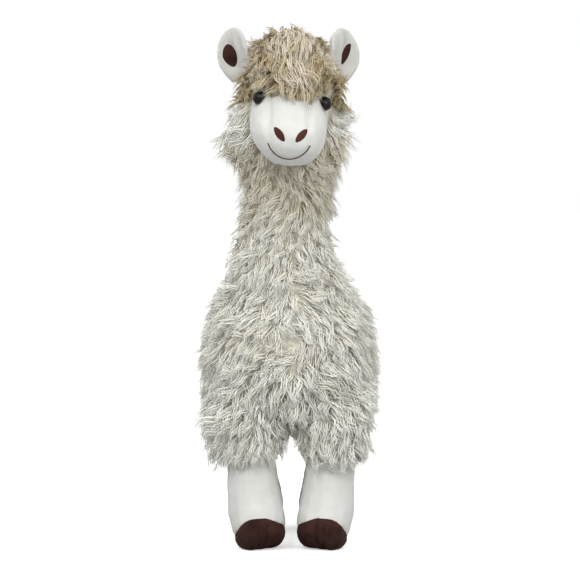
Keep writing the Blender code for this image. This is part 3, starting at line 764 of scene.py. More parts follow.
@dataclass
class Skin:
    """The backing that all long pile grows from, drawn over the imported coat, leggings, forelock and filling.

    Attributes:
        voxel: Edge length of the backing.
        rounds: How often it is relaxed, which melts the solids' coarse locks.
        inset: How far it lies under the relaxed surface.
        wool_near: Distance from the wool solids within which wool grows.
        wool_far: Distance from them beyond which none does.
        eye_room: Radius round each eye that stays free of fur.
    """

    voxel: float = 0.0042
    rounds: int = 12
    inset: float = 0.0030
    wool_near: float = 0.0040
    wool_far: float = 0.0058
    eye_room: float = 0.0076
    made: bpy.types.Object = field(init=False)
    from_ears: np.ndarray = field(init=False)
    bare: np.ndarray = field(init=False)
    hair: np.ndarray = field(init=False)

    def build(self) -> None:
        """Makes the backing and measures which fur each of its points lies under."""
        wool = ["wool_coat", "tail", *(f"legging_{leg}" for leg in LEGS)]
        self.made = solid_copy("wool_backing", "filling", "forelock", *wool)
        remeshed(self.made, self.voxel, self.rounds, -self.inset)
        self.clear_eyes()
        self.clear_shins()
        self.fill_out()
        self.made.data.materials.clear()
        self.made.data.materials.append(WOOL_SKIN.build())
        wool_tree, forelock_tree = tree_of(*wool), tree_of("forelock")
        verts = self.made.data.vertices
        ears = tree_of("ear_left", "ear_right", "ear_lining_left", "ear_lining_right")
        self.from_ears = np.array([ears.find_nearest(v.co)[3] for v in verts])
        from_wool = np.array([wool_tree.find_nearest(v.co)[3] for v in verts])
        from_forelock = np.array([forelock_tree.find_nearest(v.co)[3] for v in verts])
        self.hair = (from_forelock < from_wool) | np.array([self.beside_eyes(v.co) for v in verts])
        self.bare = np.minimum(from_wool, from_forelock)

    @staticmethod
    def beside_eyes(point: Vector) -> bool:
        """Returns whether a point is on the sides of the head, where the forelock hangs down beside the eyes."""
        place = HEAD.inverted() @ point
        return abs(place.x) > 0.026 and place.z > 0.007 and place.y < 0.014

    def clear_eyes(self) -> None:
        """Presses the backing in under the face round each eye."""
        for vert in self.made.data.vertices:
            for eye in EYE_SEATS:
                height, away = eye.over(vert.co)
                if -0.012 < height and away < 0.0125:
                    floor = -0.0045 + (height + 0.0045) * eased(away, self.eye_room, 0.0125)
                    vert.co = vert.co - eye.axis * max(0.0, height - floor)

    def clear_shins(self) -> None:
        """Draws the backing in where it runs down inside the shins."""
        for leg in LEGS:
            low, high = (Vector(corner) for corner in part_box(f"shin_{leg}"))
            middle = (low + high) / 2
            for vert in self.made.data.vertices:
                rel = vert.co - middle
                rel.z = 0.0
                if vert.co.z < 0.082 and rel.length < 0.045 and rel.x * middle.x > -0.03 * abs(middle.x):
                    vert.co -= rel * 0.5 * (1.0 - eased(vert.co.z, 0.073, 0.082))

    def fill_out(self) -> None:
        """Lets the backing bulge on the left cheek and the left thigh, where the toy is fuller."""
        moves = []
        for vert in self.made.data.vertices:
            cheek = band(vert.co.z, 0.336, 0.350, 0.378, 0.390)
            thigh = band(vert.co.z, 0.090, 0.100, 0.118, 0.135)
            bulge = 0.0030 * thigh * eased(-vert.co.x, 0.040, 0.055)
            bulge += (0.0040 if vert.co.x < 0 else 0.0016) * cheek * eased(abs(vert.co.x), 0.018, 0.032)
            moves.append(vert.co + vert.normal * bulge)
        move_to(self.made.data, moves)

    def fleece(self, mine: np.ndarray) -> np.ndarray:
        """Returns the share of tufts at each point of the backing, for one kind of fur.

        Args:
            mine: Which points the fur grows on.
        """
        shares = np.array([1.0 - eased(distance, self.wool_near, self.wool_far) for distance in self.bare])
        between = [abs(v.co.x) < 0.026 and 0.088 < v.co.z < 0.15 for v in self.made.data.vertices]
        shares[np.array(between)] = 1.0
        shares[~mine] = 0.0
        return shares

    @staticmethod
    def room_at_eyes(point: Vector, comb: Vector) -> float:
        """Returns how long fur combed a given way may grow at a point without lying over an eye."""
        room = 1.0
        for eye in EYE_SEATS if point.z > RUFF_BOTTOM else ():
            height, away = eye.over(point)
            if height > -0.025:
                towards = comb.dot((eye.washer + eye.axis * eye.tip - point).normalized())
                room = min(room, (away - 0.0046) * (1.08 + 2.0 * (1.0 - eased(towards, 0.30, 0.70))))
        return max(0.004, room)

    def free_of_eyes(self, fleece: np.ndarray) -> np.ndarray:
        """Takes the fur away round each eye.

        Args:
            fleece: Share of tufts at each point of the backing.

        Returns:
            The same shares with none near an eye.
        """
        for k, vert in enumerate(self.made.data.vertices):
            if any(h > -0.015 and away < self.eye_room for h, away in (eye.over(vert.co) for eye in EYE_SEATS)):
                fleece[k] = 0.0
        return fleece

    def emitter(self, name: str, comb: np.ndarray, fleece: np.ndarray, **values: np.ndarray) -> bpy.types.Object:
        """Copies the backing with the attributes that tufts grow by.

        Args:
            name: Name of the copy.
            comb: The way tufts lie at each point.
            fleece: Share of tufts at each point.
            values: The other attributes by name: lift, reach and tint.

        Returns:
            The copy, with only the faces that carry fur.
        """
        mesh = self.made.data.copy()
        for key, given in {"fleece": fleece, **values}.items():
            mesh.attributes.new(key, "FLOAT", "POINT").data.foreach_set("value", given.astype(np.float32))
        vectors = comb.astype(np.float32).ravel()
        mesh.attributes.new("comb", "FLOAT_VECTOR", "POINT").data.foreach_set("vector", vectors)
        shape = bmesh.new()
        shape.from_mesh(mesh)
        shape.verts.ensure_lookup_table()
        bald = [vert for vert in shape.verts if fleece[vert.index] <= 0.0]
        bmesh.ops.delete(shape, geom=bald, context="VERTS")
        shape.to_mesh(mesh)
        shape.free()
        return linked(name, mesh)


WOOL_TUFTS = TuftShape("wool_tufts", 14, 6, 3, 0.054, 0.65, 0.14, 0.08, 1.35, 0.27, 3)
QUIFF_TUFTS = TuftShape("quiff_tufts", 10, 7, 6, 0.029, 0.6, 0.05, 0.03, 1.0, 0.05, 11)
FORELOCK_TUFTS = TuftShape("forelock_tufts", 14, 6, 5, 0.040, 0.6, 0.07, 0.05, 1.05, 0.16, 7)


@dataclass
class LongPile:
    """Fur of one kind over a part of the backing.

    Attributes:
        skin: The backing that the fur grows from.
        tufts: The shapes of its tufts.
        finish: Its material.
        slot: The record's slot that it belongs to.
        spacing: Least distance between tufts.
        disorder: How much tufts stray from the comb.
        variety: How much tufts differ in tone.
    """

    skin: Skin
    tufts: TuftShape
    finish: StrandFinish
    slot: str
    spacing: float
    disorder: float
    variety: float

    def combed(self, point: Vector, normal: Vector) -> Vector:
        """Returns the way the fur lies at a point of the backing."""
        raise NotImplementedError

    def standing(self, point: Vector) -> float:
        """Returns how steeply the fur stands at a point of the backing, from 0 to 1."""
        raise NotImplementedError

    def length_at(self, point: Vector) -> float:
        """Returns the length of the fur's tufts at a point of the backing."""
        raise NotImplementedError

    def tint_at(self, point: Vector) -> float:
        """Returns how much darker the fur is at a point of the backing."""
        raise NotImplementedError

    def grown(self) -> np.ndarray:
        """Returns the share of tufts at each point of the backing."""
        raise NotImplementedError

    def stretches(self) -> dict[str, tuple[float, float, bool | None]]:
        """Returns each piece's lowest and highest height, and whether it is behind the hip line or not."""
        raise NotImplementedError

    def build(self) -> list[bpy.types.Object]:
        """Grows the fur, a piece for each stretch of the body, and returns the pieces."""
        shapes = self.tufts.build()
        points = [vert.co.copy() for vert in self.skin.made.data.vertices]
        normals = [vert.normal.copy() for vert in self.skin.made.data.vertices]
        grows = self.grown()
        comb = np.array([self.combed(p, n) for p, n in zip(points, normals)])
        reach = np.array([self.length_at(p) for p in points])
        places = [HEAD.inverted() @ p for p in points]
        crossing = np.array([place.x > 0.020 and place.z > 0.034 for place in places])
        ahead = np.array([place.y < -0.006 for place in places]) & ~crossing
        below = np.array([place.y < -0.001 and 0.006 < place.z < 0.036 for place in places])
        room = np.where(ahead, self.skin.from_ears * 1.1 + 0.0035, self.skin.from_ears * 0.8 + 0.002)
        reach = np.minimum(reach, np.maximum(room, np.where(below, 0.015, 0.006)))
        reach = np.minimum(reach, [self.skin.room_at_eyes(p, Vector(c)) for p, c in zip(points, comb)])
        lift = np.array([self.standing(p) for p in points])
        tint = np.array([self.tint_at(p) for p in points])
        pieces = []
        for name, (low, high, behind) in self.stretches().items():
            here = [low <= p.z < high and (behind is None or (p.y > HIP_LINE) == behind) for p in points]
            fleece = np.where(np.array(here), grows, 0.0)
            made = self.skin.emitter(name, comb, fleece, lift=lift, reach=reach, tint=tint)
            values = {
                "Tufts": shapes,
                "Spacing": self.spacing,
                "Disorder": self.disorder,
                "Variety": self.variety,
                "Seed": len(name),
                "Finish": self.finish.build(),
            }
            with_tree(made, tuft_tree(), values)
            pieces.append(placed(made, self.slot))
        remove_collection(shapes)
        return pieces


def remove_collection(kept: bpy.types.Collection) -> None:
    """Removes a collection and its objects."""
    for made in list(kept.objects):
        bpy.data.objects.remove(made)
    bpy.data.collections.remove(kept)


class Wool(LongPile):
    """Shaggy wool over body, neck, back of the head, thighs and tail."""

    def grown(self) -> np.ndarray:
        """Returns the share of tufts at each point of the backing."""
        grows = self.skin.fleece(~self.skin.hair)
        for k, vert in enumerate(self.skin.made.data.vertices):
            if vert.normal.z < -0.5 and abs(vert.co.y) < 0.05:
                grows[k] *= 0.6
            if vert.co.z < HEM + (HEM_RISE_LEFT if vert.co.x < 0.0 else 0.0):
                grows[k] = 0.0
        return self.skin.free_of_eyes(grows)

    def stretches(self) -> dict[str, tuple[float, float, bool | None]]:
        """Returns each piece's lowest and highest height, and whether it is behind the hip line or not."""
        return {
            "wool_leggings_front": (0.0, LEGGING_TOP, False),
            "wool_leggings_hind": (0.0, LEGGING_TOP, True),
            "wool_chest": (LEGGING_TOP, CHEST_TOP, False),
            "wool_flanks": (LEGGING_TOP, FLANK_TOP, True),
            "wool_rump": (FLANK_TOP, NECK_BOTTOM, True),
            "wool_shoulders": (CHEST_TOP, NECK_BOTTOM, False),
            "wool_neck": (NECK_BOTTOM, NECK_TOP, None),
            "wool_ruff": (NECK_TOP, OVER_ALL, None),
        }

    def combed(self, point: Vector, normal: Vector) -> Vector:
        """Returns the way the wool lies at a point of the backing."""
        back = 0.45 if point.y > HIP_LINE else 0.1
        aim = Vector((math.copysign(0.3, point.x) * eased(abs(point.x), 0.0, 0.03), back, -1.0))
        if point.z > RUFF_BOTTOM:
            outward = Vector((point.x, 0.0, (point.z - RUFF_MIDDLE) * 0.6)).normalized()
            aim = aim.lerp(outward + Vector((0, 0.25, -0.55)), eased(point.z, RUFF_BOTTOM, RUFF_BOTTOM + 0.03))
        aim += swirl(point, 0.024) * 1.3 + swirl(point, 0.008) * 0.8
        return (aim - normal * aim.dot(normal)).normalized()

    def standing(self, point: Vector) -> float:
        """Returns how steeply the wool stands at a point of the backing, from 0 to 1."""
        ruff = eased(point.z, RUFF_BOTTOM, RUFF_BOTTOM + RUFF_BLEND)
        belly = band(point.z, *BELLY)
        return 0.55 + 0.06 * ruff + 0.10 * belly + 0.13 * swirl(point, 0.02).x

    def length_at(self, point: Vector) -> float:
        """Returns the length of the wool's tufts at a point of the backing."""
        body = band(point.z, *BARREL)
        ruff = eased(point.z, RUFF_BOTTOM, RUFF_BOTTOM + RUFF_BLEND)
        belly = band(point.z, *BELLY)
        left = eased(-point.x, 0.020, 0.034) * ruff
        inner = (1.0 - eased(abs(point.x), 0.010, 0.026)) * (1.0 - eased(point.z, 0.090, 0.112))
        thigh = eased(-point.x, 0.040, 0.055) * (1.0 - eased(point.z, 0.115, 0.135))
        full = 0.0210 + 0.0030 * (body + belly + ruff) + 0.0025 * left + 0.0040 * thigh
        grown = full * (1.0 - 0.45 * inner) * (1.0 + 0.16 * swirl(point, 0.02).y)
        return min(grown, max(WOOL_LEAST, (WOOL_EDGE - abs(point.x)) / WOOL_OUTWARD))

    def tint_at(self, point: Vector) -> float:
        """Returns how much darker the wool is, with painted shade under the chin and between the legs, not on cheeks
        and legs.
        """
        front = 1.0 - eased(point.y, -0.07, -0.04)
        # Painted shade: the wool is darkened under the chin and between the legs, where shadow falls.
        throat_shade = band(point.z, 0.262, 0.315, 0.345, 0.365) * front
        crotch_shade = (1.0 - eased(abs(point.x), 0.0, 0.02)) * (1.0 - eased(point.z, 0.1, 0.14))
        cheek = band(point.z, 0.350, 0.362, 0.386, 0.394) * front
        legs = 1.0 - eased(point.z, 0.100, 0.160)
        return 0.80 * throat_shade + 0.3 * crotch_shade - 0.3 * cheek - 0.16 * legs - 0.36


class Forelock(LongPile):
    """Long tan hair that falls forward from the crown into a fringe."""

    longest: float = 0.042

    def grown(self) -> np.ndarray:
        """Returns the share of tufts at each point of the backing."""
        grows = self.skin.fleece(self.skin.hair)
        for k, vert in enumerate(self.skin.made.data.vertices):
            place = HEAD.inverted() @ vert.co
            if self.drop(place) < -0.001:
                grows[k] = 0.0
            grows[k] *= 1.0 - self.parting(place)
        return self.skin.free_of_eyes(grows)

    def parting(self, place: Vector) -> float:
        """Returns how much of the hair at a point of the head the quiff takes over."""
        return quiff_share(place)

    def stretches(self) -> dict[str, tuple[float, float, bool | None]]:
        """Returns each piece's lowest and highest height, and whether it is behind the hip line or not."""
        return {"forelock_fringe": (0.0, OVER_ALL, None)}

    @staticmethod
    def drop(place: Vector) -> float:
        """Returns how far a point of the head is above the fringe's lowest tips."""
        beside = eased(abs(place.x), 0.032, 0.036)
        above_eye = eased(abs(place.x), 0.018, 0.023) * (1.0 - beside)
        rim = -0.0016 + (0.0215 if place.x < 0 else 0.0160) * above_eye - (-0.0008 if place.x < 0 else 0.0055) * beside
        return place.z - rim

    def combed(self, point: Vector, normal: Vector) -> Vector:
        """Returns the way the hair lies at a point of the backing."""
        place = HEAD.inverted() @ point
        aim = (place - Vector((0.0, 0.034, 0.062))).normalized() + Vector((0.0, -0.35, 0.0))
        loose = max(eased(abs(place.x), 0.008, 0.028), 1.0 - eased(place.z, 0.030, 0.050))
        aim += (swirl(point, 0.014) * 1.45 + swirl(point, 0.007) * 0.9) * (0.35 + 0.65 * loose)
        aim = HEAD.to_3x3() @ aim
        return (aim - normal * aim.dot(normal)).normalized()

    def standing(self, point: Vector) -> float:
        """Returns how steeply the hair stands at a point of the backing, from 0 to 1."""
        place = HEAD.inverted() @ point
        top = eased(place.z, 0.045, 0.062)
        shoulder = eased(abs(place.x), 0.009, 0.022) * eased(place.z, 0.033, 0.048)
        beside = eased(abs(place.x), 0.030, 0.038) * (1.0 - eased(place.z, 0.03, 0.045))
        left = 0.14 if place.x < 0 else 0.0
        return 0.36 - 0.16 * top + 0.28 * shoulder + (0.26 + left) * beside + 0.12 * swirl(point, 0.015).x

    def length_at(self, point: Vector) -> float:
        """Returns the length of the hair at a point of the backing, which ends at the fringe's lowest tips."""
        place = HEAD.inverted() @ point
        least = (0.026 if place.x < 0 else 0.018) * eased(abs(place.x), 0.036, 0.041)
        return min(self.longest, max(least, self.drop(place) + 0.0080))

    def tint_at(self, point: Vector) -> float:
        """Returns how much darker the hair is: at the sides and low down."""
        place = HEAD.inverted() @ point
        side = eased(abs(place.x), 0.008, 0.026)
        low = 1.0 - eased(place.z, 0.025, 0.055)
        return 0.24 * side + 0.12 * low - 0.10 + 0.45 * swirl(point, 0.012).z


def quiff_share(place: Vector) -> float:
    """Returns how far a point of the head belongs to the pale quiff, from 0 to 1."""
    across = 1.0 - eased(abs(place.x + 0.001), 0.011, 0.017)
    return across * eased(place.z, 0.042, 0.050) * (1.0 - eased(place.y, -0.004, 0.010))


class Quiff(Forelock):
    """Pale straight locks that fall from the crown over the middle of the forehead."""

    longest: float = 0.038

    def parting(self, place: Vector) -> float:
        """Returns how much of the hair at a point of the head other hair takes over."""
        return 1.0 - quiff_share(place)

    def stretches(self) -> dict[str, tuple[float, float, bool | None]]:
        """Returns each piece's lowest and highest height, and whether it is behind the hip line or not."""
        return {"forelock_quiff": (0.0, OVER_ALL, None)}

    def combed(self, point: Vector, normal: Vector) -> Vector:
        """Returns the way the hair lies at a point of the backing."""
        place = HEAD.inverted() @ point
        aim = HEAD.to_3x3() @ Vector((place.x * 6.0, -1.0, -0.6)) + swirl(point, 0.012) * 0.22
        return (aim - normal * aim.dot(normal)).normalized()

    def standing(self, point: Vector) -> float:
        """Returns how steeply the hair stands at a point of the backing, from 0 to 1."""
        return 0.33

    def tint_at(self, point: Vector) -> float:
        """Returns how much darker the hair is: paler than the rest."""
        return -0.42


@dataclass
class PaddedCover:
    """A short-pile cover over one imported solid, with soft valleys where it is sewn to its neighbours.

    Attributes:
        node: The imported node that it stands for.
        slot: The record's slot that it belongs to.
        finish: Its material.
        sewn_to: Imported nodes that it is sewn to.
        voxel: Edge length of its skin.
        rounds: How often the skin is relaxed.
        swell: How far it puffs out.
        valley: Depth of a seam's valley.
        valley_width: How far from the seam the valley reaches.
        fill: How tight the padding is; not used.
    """

    node: str
    slot: str
    finish: PileFinish
    sewn_to: tuple[str, ...] = ()
    voxel: float = 0.0015
    rounds: int = 6
    swell: float = 0.0004
    valley: float = 0.0009
    valley_width: float = 0.0022
    fill: float = 0.9
    made: bpy.types.Object = field(init=False)

    def build(self) -> None:
        """Makes the cover."""
        self.made = remeshed(solid_copy(f"{self.node}_cover", self.node), self.voxel, self.rounds, self.swell)
        self.shape_it()
        if self.sewn_to:
            self.sew(tree_of(*self.sewn_to))
        self.made.data.materials.clear()
        self.made.data.materials.append(self.finish.build())
        self.made.data.shade_smooth()
        placed(self.made, self.slot, self.node)

    def shape_it(self) -> None:
        """Shapes what is special about this cover."""

    def sew(self, neighbour: BVHTree) -> None:
        """Pulls the cover in along its seam with a neighbour."""
        verts = self.made.data.vertices
        moves = []
        for vert in verts:
            distance = neighbour.find_nearest(vert.co)[3]
            pull = self.valley * ridge(distance, self.valley_width)
            pull *= 1.0 + 0.5 * swirl(vert.co, 0.004).x
            moves.append(vert.co - vert.normal * pull)
        move_to(self.made.data, moves)


class FaceCover(PaddedCover):
    """The white face, with a crease along each side of the bridge of the nose and along the smile."""

    def shape_it(self) -> None:
        """Presses the creases in."""
        verts = self.made.data.vertices
        to_head = HEAD.inverted()
        moves = []
        for vert in verts:
            depth = 0.0
            for side, x_top, x_low in ((-1, -0.0166, -0.0180), (1, 0.0180, 0.0180)):
                share = (vert.co.z - 0.357) / 0.03
                x = x_low + (x_top - x_low) * share
                fade = eased(vert.co.z, 0.354, 0.366)
                depth += 0.0024 * fade * ridge(vert.co.x - x, 0.0034)
            place = to_head @ vert.co
            depth += 0.0008 * ridge(SMILE.away(place.x, place.z), 0.0019)
            front = eased(-vert.normal.y, 0.1, 0.4)
            low = 1.0 - eased(place.z, -0.035, -0.012)
            chin = (1.0 - eased(place.z, -0.048, -0.034)) * eased(-place.y, 0.03, 0.06)
            chin *= 1.0 - eased(abs(place.x), 0.012, 0.030)
            narrow = 0.0032 * low * eased(-place.x, 0.012, 0.030) - 0.0042 * eased(place.x, 0.012, 0.034)
            shift = HEAD.to_3x3() @ Vector((narrow, 0.0, -0.0040 * chin))
            moves.append(vert.co - vert.normal * depth * front + shift)
        move_to(self.made.data, moves)
        for eye in EYE_SEATS:
            self.dish(eye)

    def dish(self, eye: EyeSeat) -> None:
        """Draws the cover in to the foot of an eye's dome."""
        for vert in self.made.data.vertices:
            height, away = eye.over(vert.co)
            if height > -0.010 and away < 0.0150:
                floor = -0.0016 + (height + 0.0016) * eased(away, 0.0072, 0.0150)
                vert.co = vert.co - eye.axis * max(0.0, height - floor)


@dataclass(frozen=True)
class Smile:
    """The arc of the mouth in the head's frame, as the front shows it.

    Attributes:
        width: Between the corners.
        rise: Height of the corners from the head's centre.
        sag: How far the middle hangs below the corners.
        middle: How far the arc is off the middle plane.
    """

    width: float = 0.0342
    rise: float = -0.0268
    sag: float = 0.0112
    middle: float = -0.0019

    @property
    def radius(self) -> float:
        """The arc's radius."""
        return (self.width**2 / 4 + self.sag**2) / (2 * self.sag)

    @property
    def centre(self) -> float:
        """Height of the arc's centre."""
        return self.rise - self.sag + self.radius

    def at(self, share: float) -> tuple[float, float]:
        """Returns the arc's X and Z at a share from its left corner to its right."""
        angle = math.asin(self.width / 2 / self.radius) * (2 * share - 1)
        return self.middle + self.radius * math.sin(angle), self.centre - self.radius * math.cos(angle)

    def away(self, x: float, z: float) -> float:
        """Returns how far a point of the front view is from the arc."""
        x -= self.middle
        inside = abs(x) <= self.width / 2 and z < self.centre
        on_arc = abs(math.hypot(x, z - self.centre) - self.radius)
        corner = math.hypot(abs(x) - self.width / 2, z - self.rise)
        return on_arc if inside else corner


SMILE = Smile()


@dataclass(frozen=True)
class EarSeat:
    """Where an ear is sewn on, in the head's frame.

    Attributes:
        side: The ear's side.
        spread: Distance from the head's middle plane.
        rise: Height of its root.
        lean: How far it leans outwards.
        turn: How far its hollow is turned from the front.
    """

    side: Side
    spread: float
    rise: float
    lean: float
    turn: float

    def frame(self) -> Matrix:
        """Returns the ear's axes: +Z up the ear and -Y out of its hollow."""
        sign = self.side.value
        place = Matrix.Translation((sign * self.spread, 0.004, self.rise))
        lean = Matrix.Rotation(sign * self.lean, 4, "Y")
        return HEAD @ place @ lean @ Matrix.Rotation(sign * self.turn, 4, "Z")


EAR_SEATS = (
    EarSeat(Side.LEFT, 0.0405, 0.0295, math.radians(18), math.radians(36)),
    EarSeat(Side.RIGHT, 0.0385, 0.0335, math.radians(3), math.radians(48)),
)


@dataclass
class EarCover(PaddedCover):
    """A cupped ear with a padded rim round its hollow.

    Attributes:
        seat: Where the ear is sewn on.
        hollow: How far its hollow is off its middle.
        flap: How far the folded flap is off the hollow.
        broaden: How much further out its inner edge lies.
    """

    seat: EarSeat = EAR_SEATS[0]
    hollow: float = 0.0
    flap: float = 0.008
    broaden: float = 0.0

    def shape_it(self) -> None:
        """Presses the hollow in and lets the rim stand up round it."""
        frame = self.seat.frame()
        back = frame.inverted()
        verts = self.made.data.vertices
        moves = []
        for vert in verts:
            place = back @ vert.co
            facing = -(back.to_3x3() @ vert.normal).y
            across = (place.x - self.hollow) / 0.0085
            along = (place.z - 0.0225) / 0.0150
            inside = 1.0 - eased(math.hypot(across, along), 0.5, 1.2)
            flap = ridge(place.x - self.hollow - self.flap, 0.0042) * (1.0 - eased(abs(along), 0.9, 1.7))
            press = (0.0026 * inside - 0.0014 * flap) * eased(facing, 0.0, 0.5)
            broad = self.broaden * eased(-place.x, 0.004, 0.013) * (1.0 - eased(abs(along), 0.8, 1.6))
            moves.append(vert.co - vert.normal * press + frame.to_3x3() @ Vector((-broad, 0.0, 0.0)))
        move_to(self.made.data, moves)


@dataclass
class SewnPatch:
    """A low dome of cloth or stitching that follows the surface under it.

    Attributes:
        name: The piece's name.
        slot: The record's slot that it belongs to.
        finish: Its material.
        node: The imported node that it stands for.
        frame: Axes in which its outline is drawn in X and Z, seen along +Y.
        outline: The outline's points.
        dome: Height of its middle over the surface.
        rings: Rings of points between middle and outline.
        sunk: Depth of its underside.
    """

    name: str
    slot: str
    finish: PileFinish
    node: str
    frame: Matrix
    outline: list[tuple[float, float]]
    dome: float = 0.0009
    rings: int = 5
    sunk: float = 0.0008
    made: bpy.types.Object = field(init=False)

    def build(self, surface: BVHTree) -> None:
        """Lays the patch on a surface.

        Args:
            surface: The surface that carries it.
        """
        count = len(self.outline)
        middle = np.mean(np.array(self.outline), axis=0)
        points: list[Vector] = []
        for i in range(1, self.rings + 1):
            share = i / self.rings
            height = self.dome * math.sqrt(max(0.0, 1.0 - share * share))
            for x, z in self.outline:
                points.append(self.laid(surface, *self.between(middle, (x, z), share), height))
        for x, z in self.outline:
            points.append(self.laid(surface, x, z, -self.sunk))
        top = len(points)
        points.append(self.laid(surface, *middle, self.dome))
        points.append(self.laid(surface, *middle, -self.sunk))
        faces = []
        for i in range(self.rings):
            low, high = i * count, (i + 1) * count
            for k in range(count):
                after = (k + 1) % count
                faces.append((low + k, low + after, high + after, high + k))
        for k in range(count):
            after = (k + 1) % count
            faces.append((k, after, top))
            faces.append((self.rings * count + k, self.rings * count + after, top + 1))
        mesh = bpy.data.meshes.new(self.name)
        mesh.from_pydata(points, [], faces)
        shape = bmesh.new()
        shape.from_mesh(mesh)
        bmesh.ops.recalc_face_normals(shape, faces=shape.faces)
        shape.to_mesh(mesh)
        shape.free()
        mesh.shade_smooth()
        mesh.materials.append(self.finish.build())
        self.made = placed(linked(self.name, mesh), self.slot, self.node)

    @staticmethod
    def between(middle: np.ndarray, edge: tuple[float, float], share: float) -> tuple[float, float]:
        """Returns the point at a share of the way from the middle to the edge."""
        return (
            middle[0] + (edge[0] - middle[0]) * share,
            middle[1] + (edge[1] - middle[1]) * share,
        )

    def laid(self, surface: BVHTree, x: float, z: float, height: float) -> Vector:
        """Returns the point over the surface where the outline's X and Z fall on it."""
        start = self.frame @ Vector((x, -0.2, z))
        seat, normal = surface.ray_cast(start, self.frame.to_3x3() @ Vector((0, 1, 0)))[:2]
        return seat + normal * height


def surface_of(made: bpy.types.Object) -> BVHTree:
    """Returns the search tree of a finished piece."""
    shape = bmesh.new()
    shape.from_mesh(made.data)
    found = BVHTree.FromBMesh(shape)
    shape.free()
    return found


def leaf(length: float, width: float, slope: float, power: float, count: int = 40) -> list[tuple[float, float]]:
    """Returns the outline of a leaf round the origin.

    Args:
        length: From tip to tip.
        width: Across its middle.
        slope: Its turn from the horizontal.
        power: 2 is an ellipse, less is more pointed.
        count: Points round it.
    """
    points = []
    for k in range(count):
        angle = 2 * math.pi * k / count
        cos, sin = math.cos(angle), math.sin(angle)
        along = length / 2 * math.copysign(abs(cos) ** (2 / power), cos)
        across = width / 2 * math.copysign(abs(sin) ** (2 / power), sin)
        points.append(
            (along * math.cos(slope) - across * math.sin(slope), along * math.sin(slope) + across * math.cos(slope))
        )
    return points


def stitch_tree() -> bpy.types.NodeTree:
    """Returns the Geometry Nodes tree that lays stitches along an edge path, each square to the path's own normal."""
    name = "Stitches along a path"
    if name in bpy.data.node_groups:
        return bpy.data.node_groups[name]
    tree = geometry_tree(name, Pitch="Float", Thread="Float", Finish="Material")
    graph = Graph(tree)
    given = graph.node("NodeGroupInput").outputs
    path = graph.node("GeometryNodeMeshToCurve", {0: given["Geometry"]}).outputs[0]
    even = graph.node("GeometryNodeResampleCurve", {"Curve": path, "Length": given["Pitch"]}, mode="LENGTH")
    bead = graph.node("GeometryNodeMeshUVSphere", {"Segments": 8, "Rings": 6, "Radius": 0.5})
    tangent = graph.node("GeometryNodeInputTangent").outputs[0]
    turned = graph.node("FunctionNodeAlignRotationToVector", {"Vector": tangent}, axis="Z")
    long_way = graph.maths("MULTIPLY", given["Pitch"], 1.35)
    size = graph.node("ShaderNodeCombineXYZ", {0: given["Thread"], 1: given["Thread"], 2: long_way})
    laid = graph.node(
        "GeometryNodeInstanceOnPoints",
        {
            "Points": even.outputs[0],
            "Instance": bead.outputs["Mesh"],
            "Rotation": turned.outputs[0],
            "Scale": size.outputs[0],
        },
    )
    real = graph.node("GeometryNodeRealizeInstances", {0: laid.outputs[0]})
    smooth = graph.node("GeometryNodeSetShadeSmooth", {0: real.outputs[0]})
    finished = graph.node("GeometryNodeSetMaterial", {"Geometry": smooth.outputs[0], "Material": given["Finish"]})
    tree.links.new(finished.outputs[0], graph.node("NodeGroupOutput").inputs[0])
    return tree


@dataclass
class Face:
    """The face with its nostrils and mouth.

    Attributes:
        nostril_spread: Distance of a nostril's middle from the middle plane.
        nostril_middle: How far both are off the middle plane.
        nostril_rise: Its height from the head's centre.
        nostril_length: From tip to tip.
        nostril_width: Across its middle.
        nostril_slope: How steeply its outer end rises.
        thread: Thickness of the mouth's thread.
    """

    nostril_spread: float = 0.0092
    nostril_middle: float = -0.0014
    nostril_rise: float = -0.0181
    nostril_length: float = 0.0146
    nostril_width: float = 0.0062
    nostril_slope: float = math.radians(52)
    thread: float = 0.0012
    cover: FaceCover = field(init=False)

    def build(self) -> None:
        """Makes the face's cover, then lays nostrils and mouth on it."""
        self.cover = FaceCover("face", "plush", WHITE_PLUSH, ("wool_coat", "forelock"), voxel=0.0016, rounds=8)
        self.cover.build()
        surface = surface_of(self.cover.made)
        for side in Side:
            shape = leaf(self.nostril_length, self.nostril_width, self.nostril_slope, 1.7)
            middle = self.nostril_middle
            outline = [(middle + side.value * (self.nostril_spread + x), self.nostril_rise + z) for x, z in shape]
            name = f"nostril_{side.word}"
            patch = SewnPatch(f"{name}_stitching", "brown", STITCHING, name, HEAD, outline)
            patch.build(surface)
        self.mouth(surface)

    def mouth(self, surface: BVHTree) -> None:
        """Stitches the smile on the face's surface."""
        steps = 48
        points = []
        for k in range(steps + 1):
            x, z = SMILE.at(k / steps)
            start = HEAD @ Vector((x, -0.2, z))
            seat, normal = surface.ray_cast(start, HEAD.to_3x3() @ Vector((0, 1, 0)))[:2]
            points.append(seat + normal * self.thread * 0.12)
        mesh = bpy.data.meshes.new("mouth_thread")
        mesh.from_pydata(points, [(k, k + 1) for k in range(steps)], [])
        made = linked("mouth_thread", mesh)
        values = {"Pitch": 0.0019, "Thread": self.thread, "Finish": STITCHING.build()}
        with_tree(made, stitch_tree(), values)
        placed(made, "thread", "mouth_stitch")


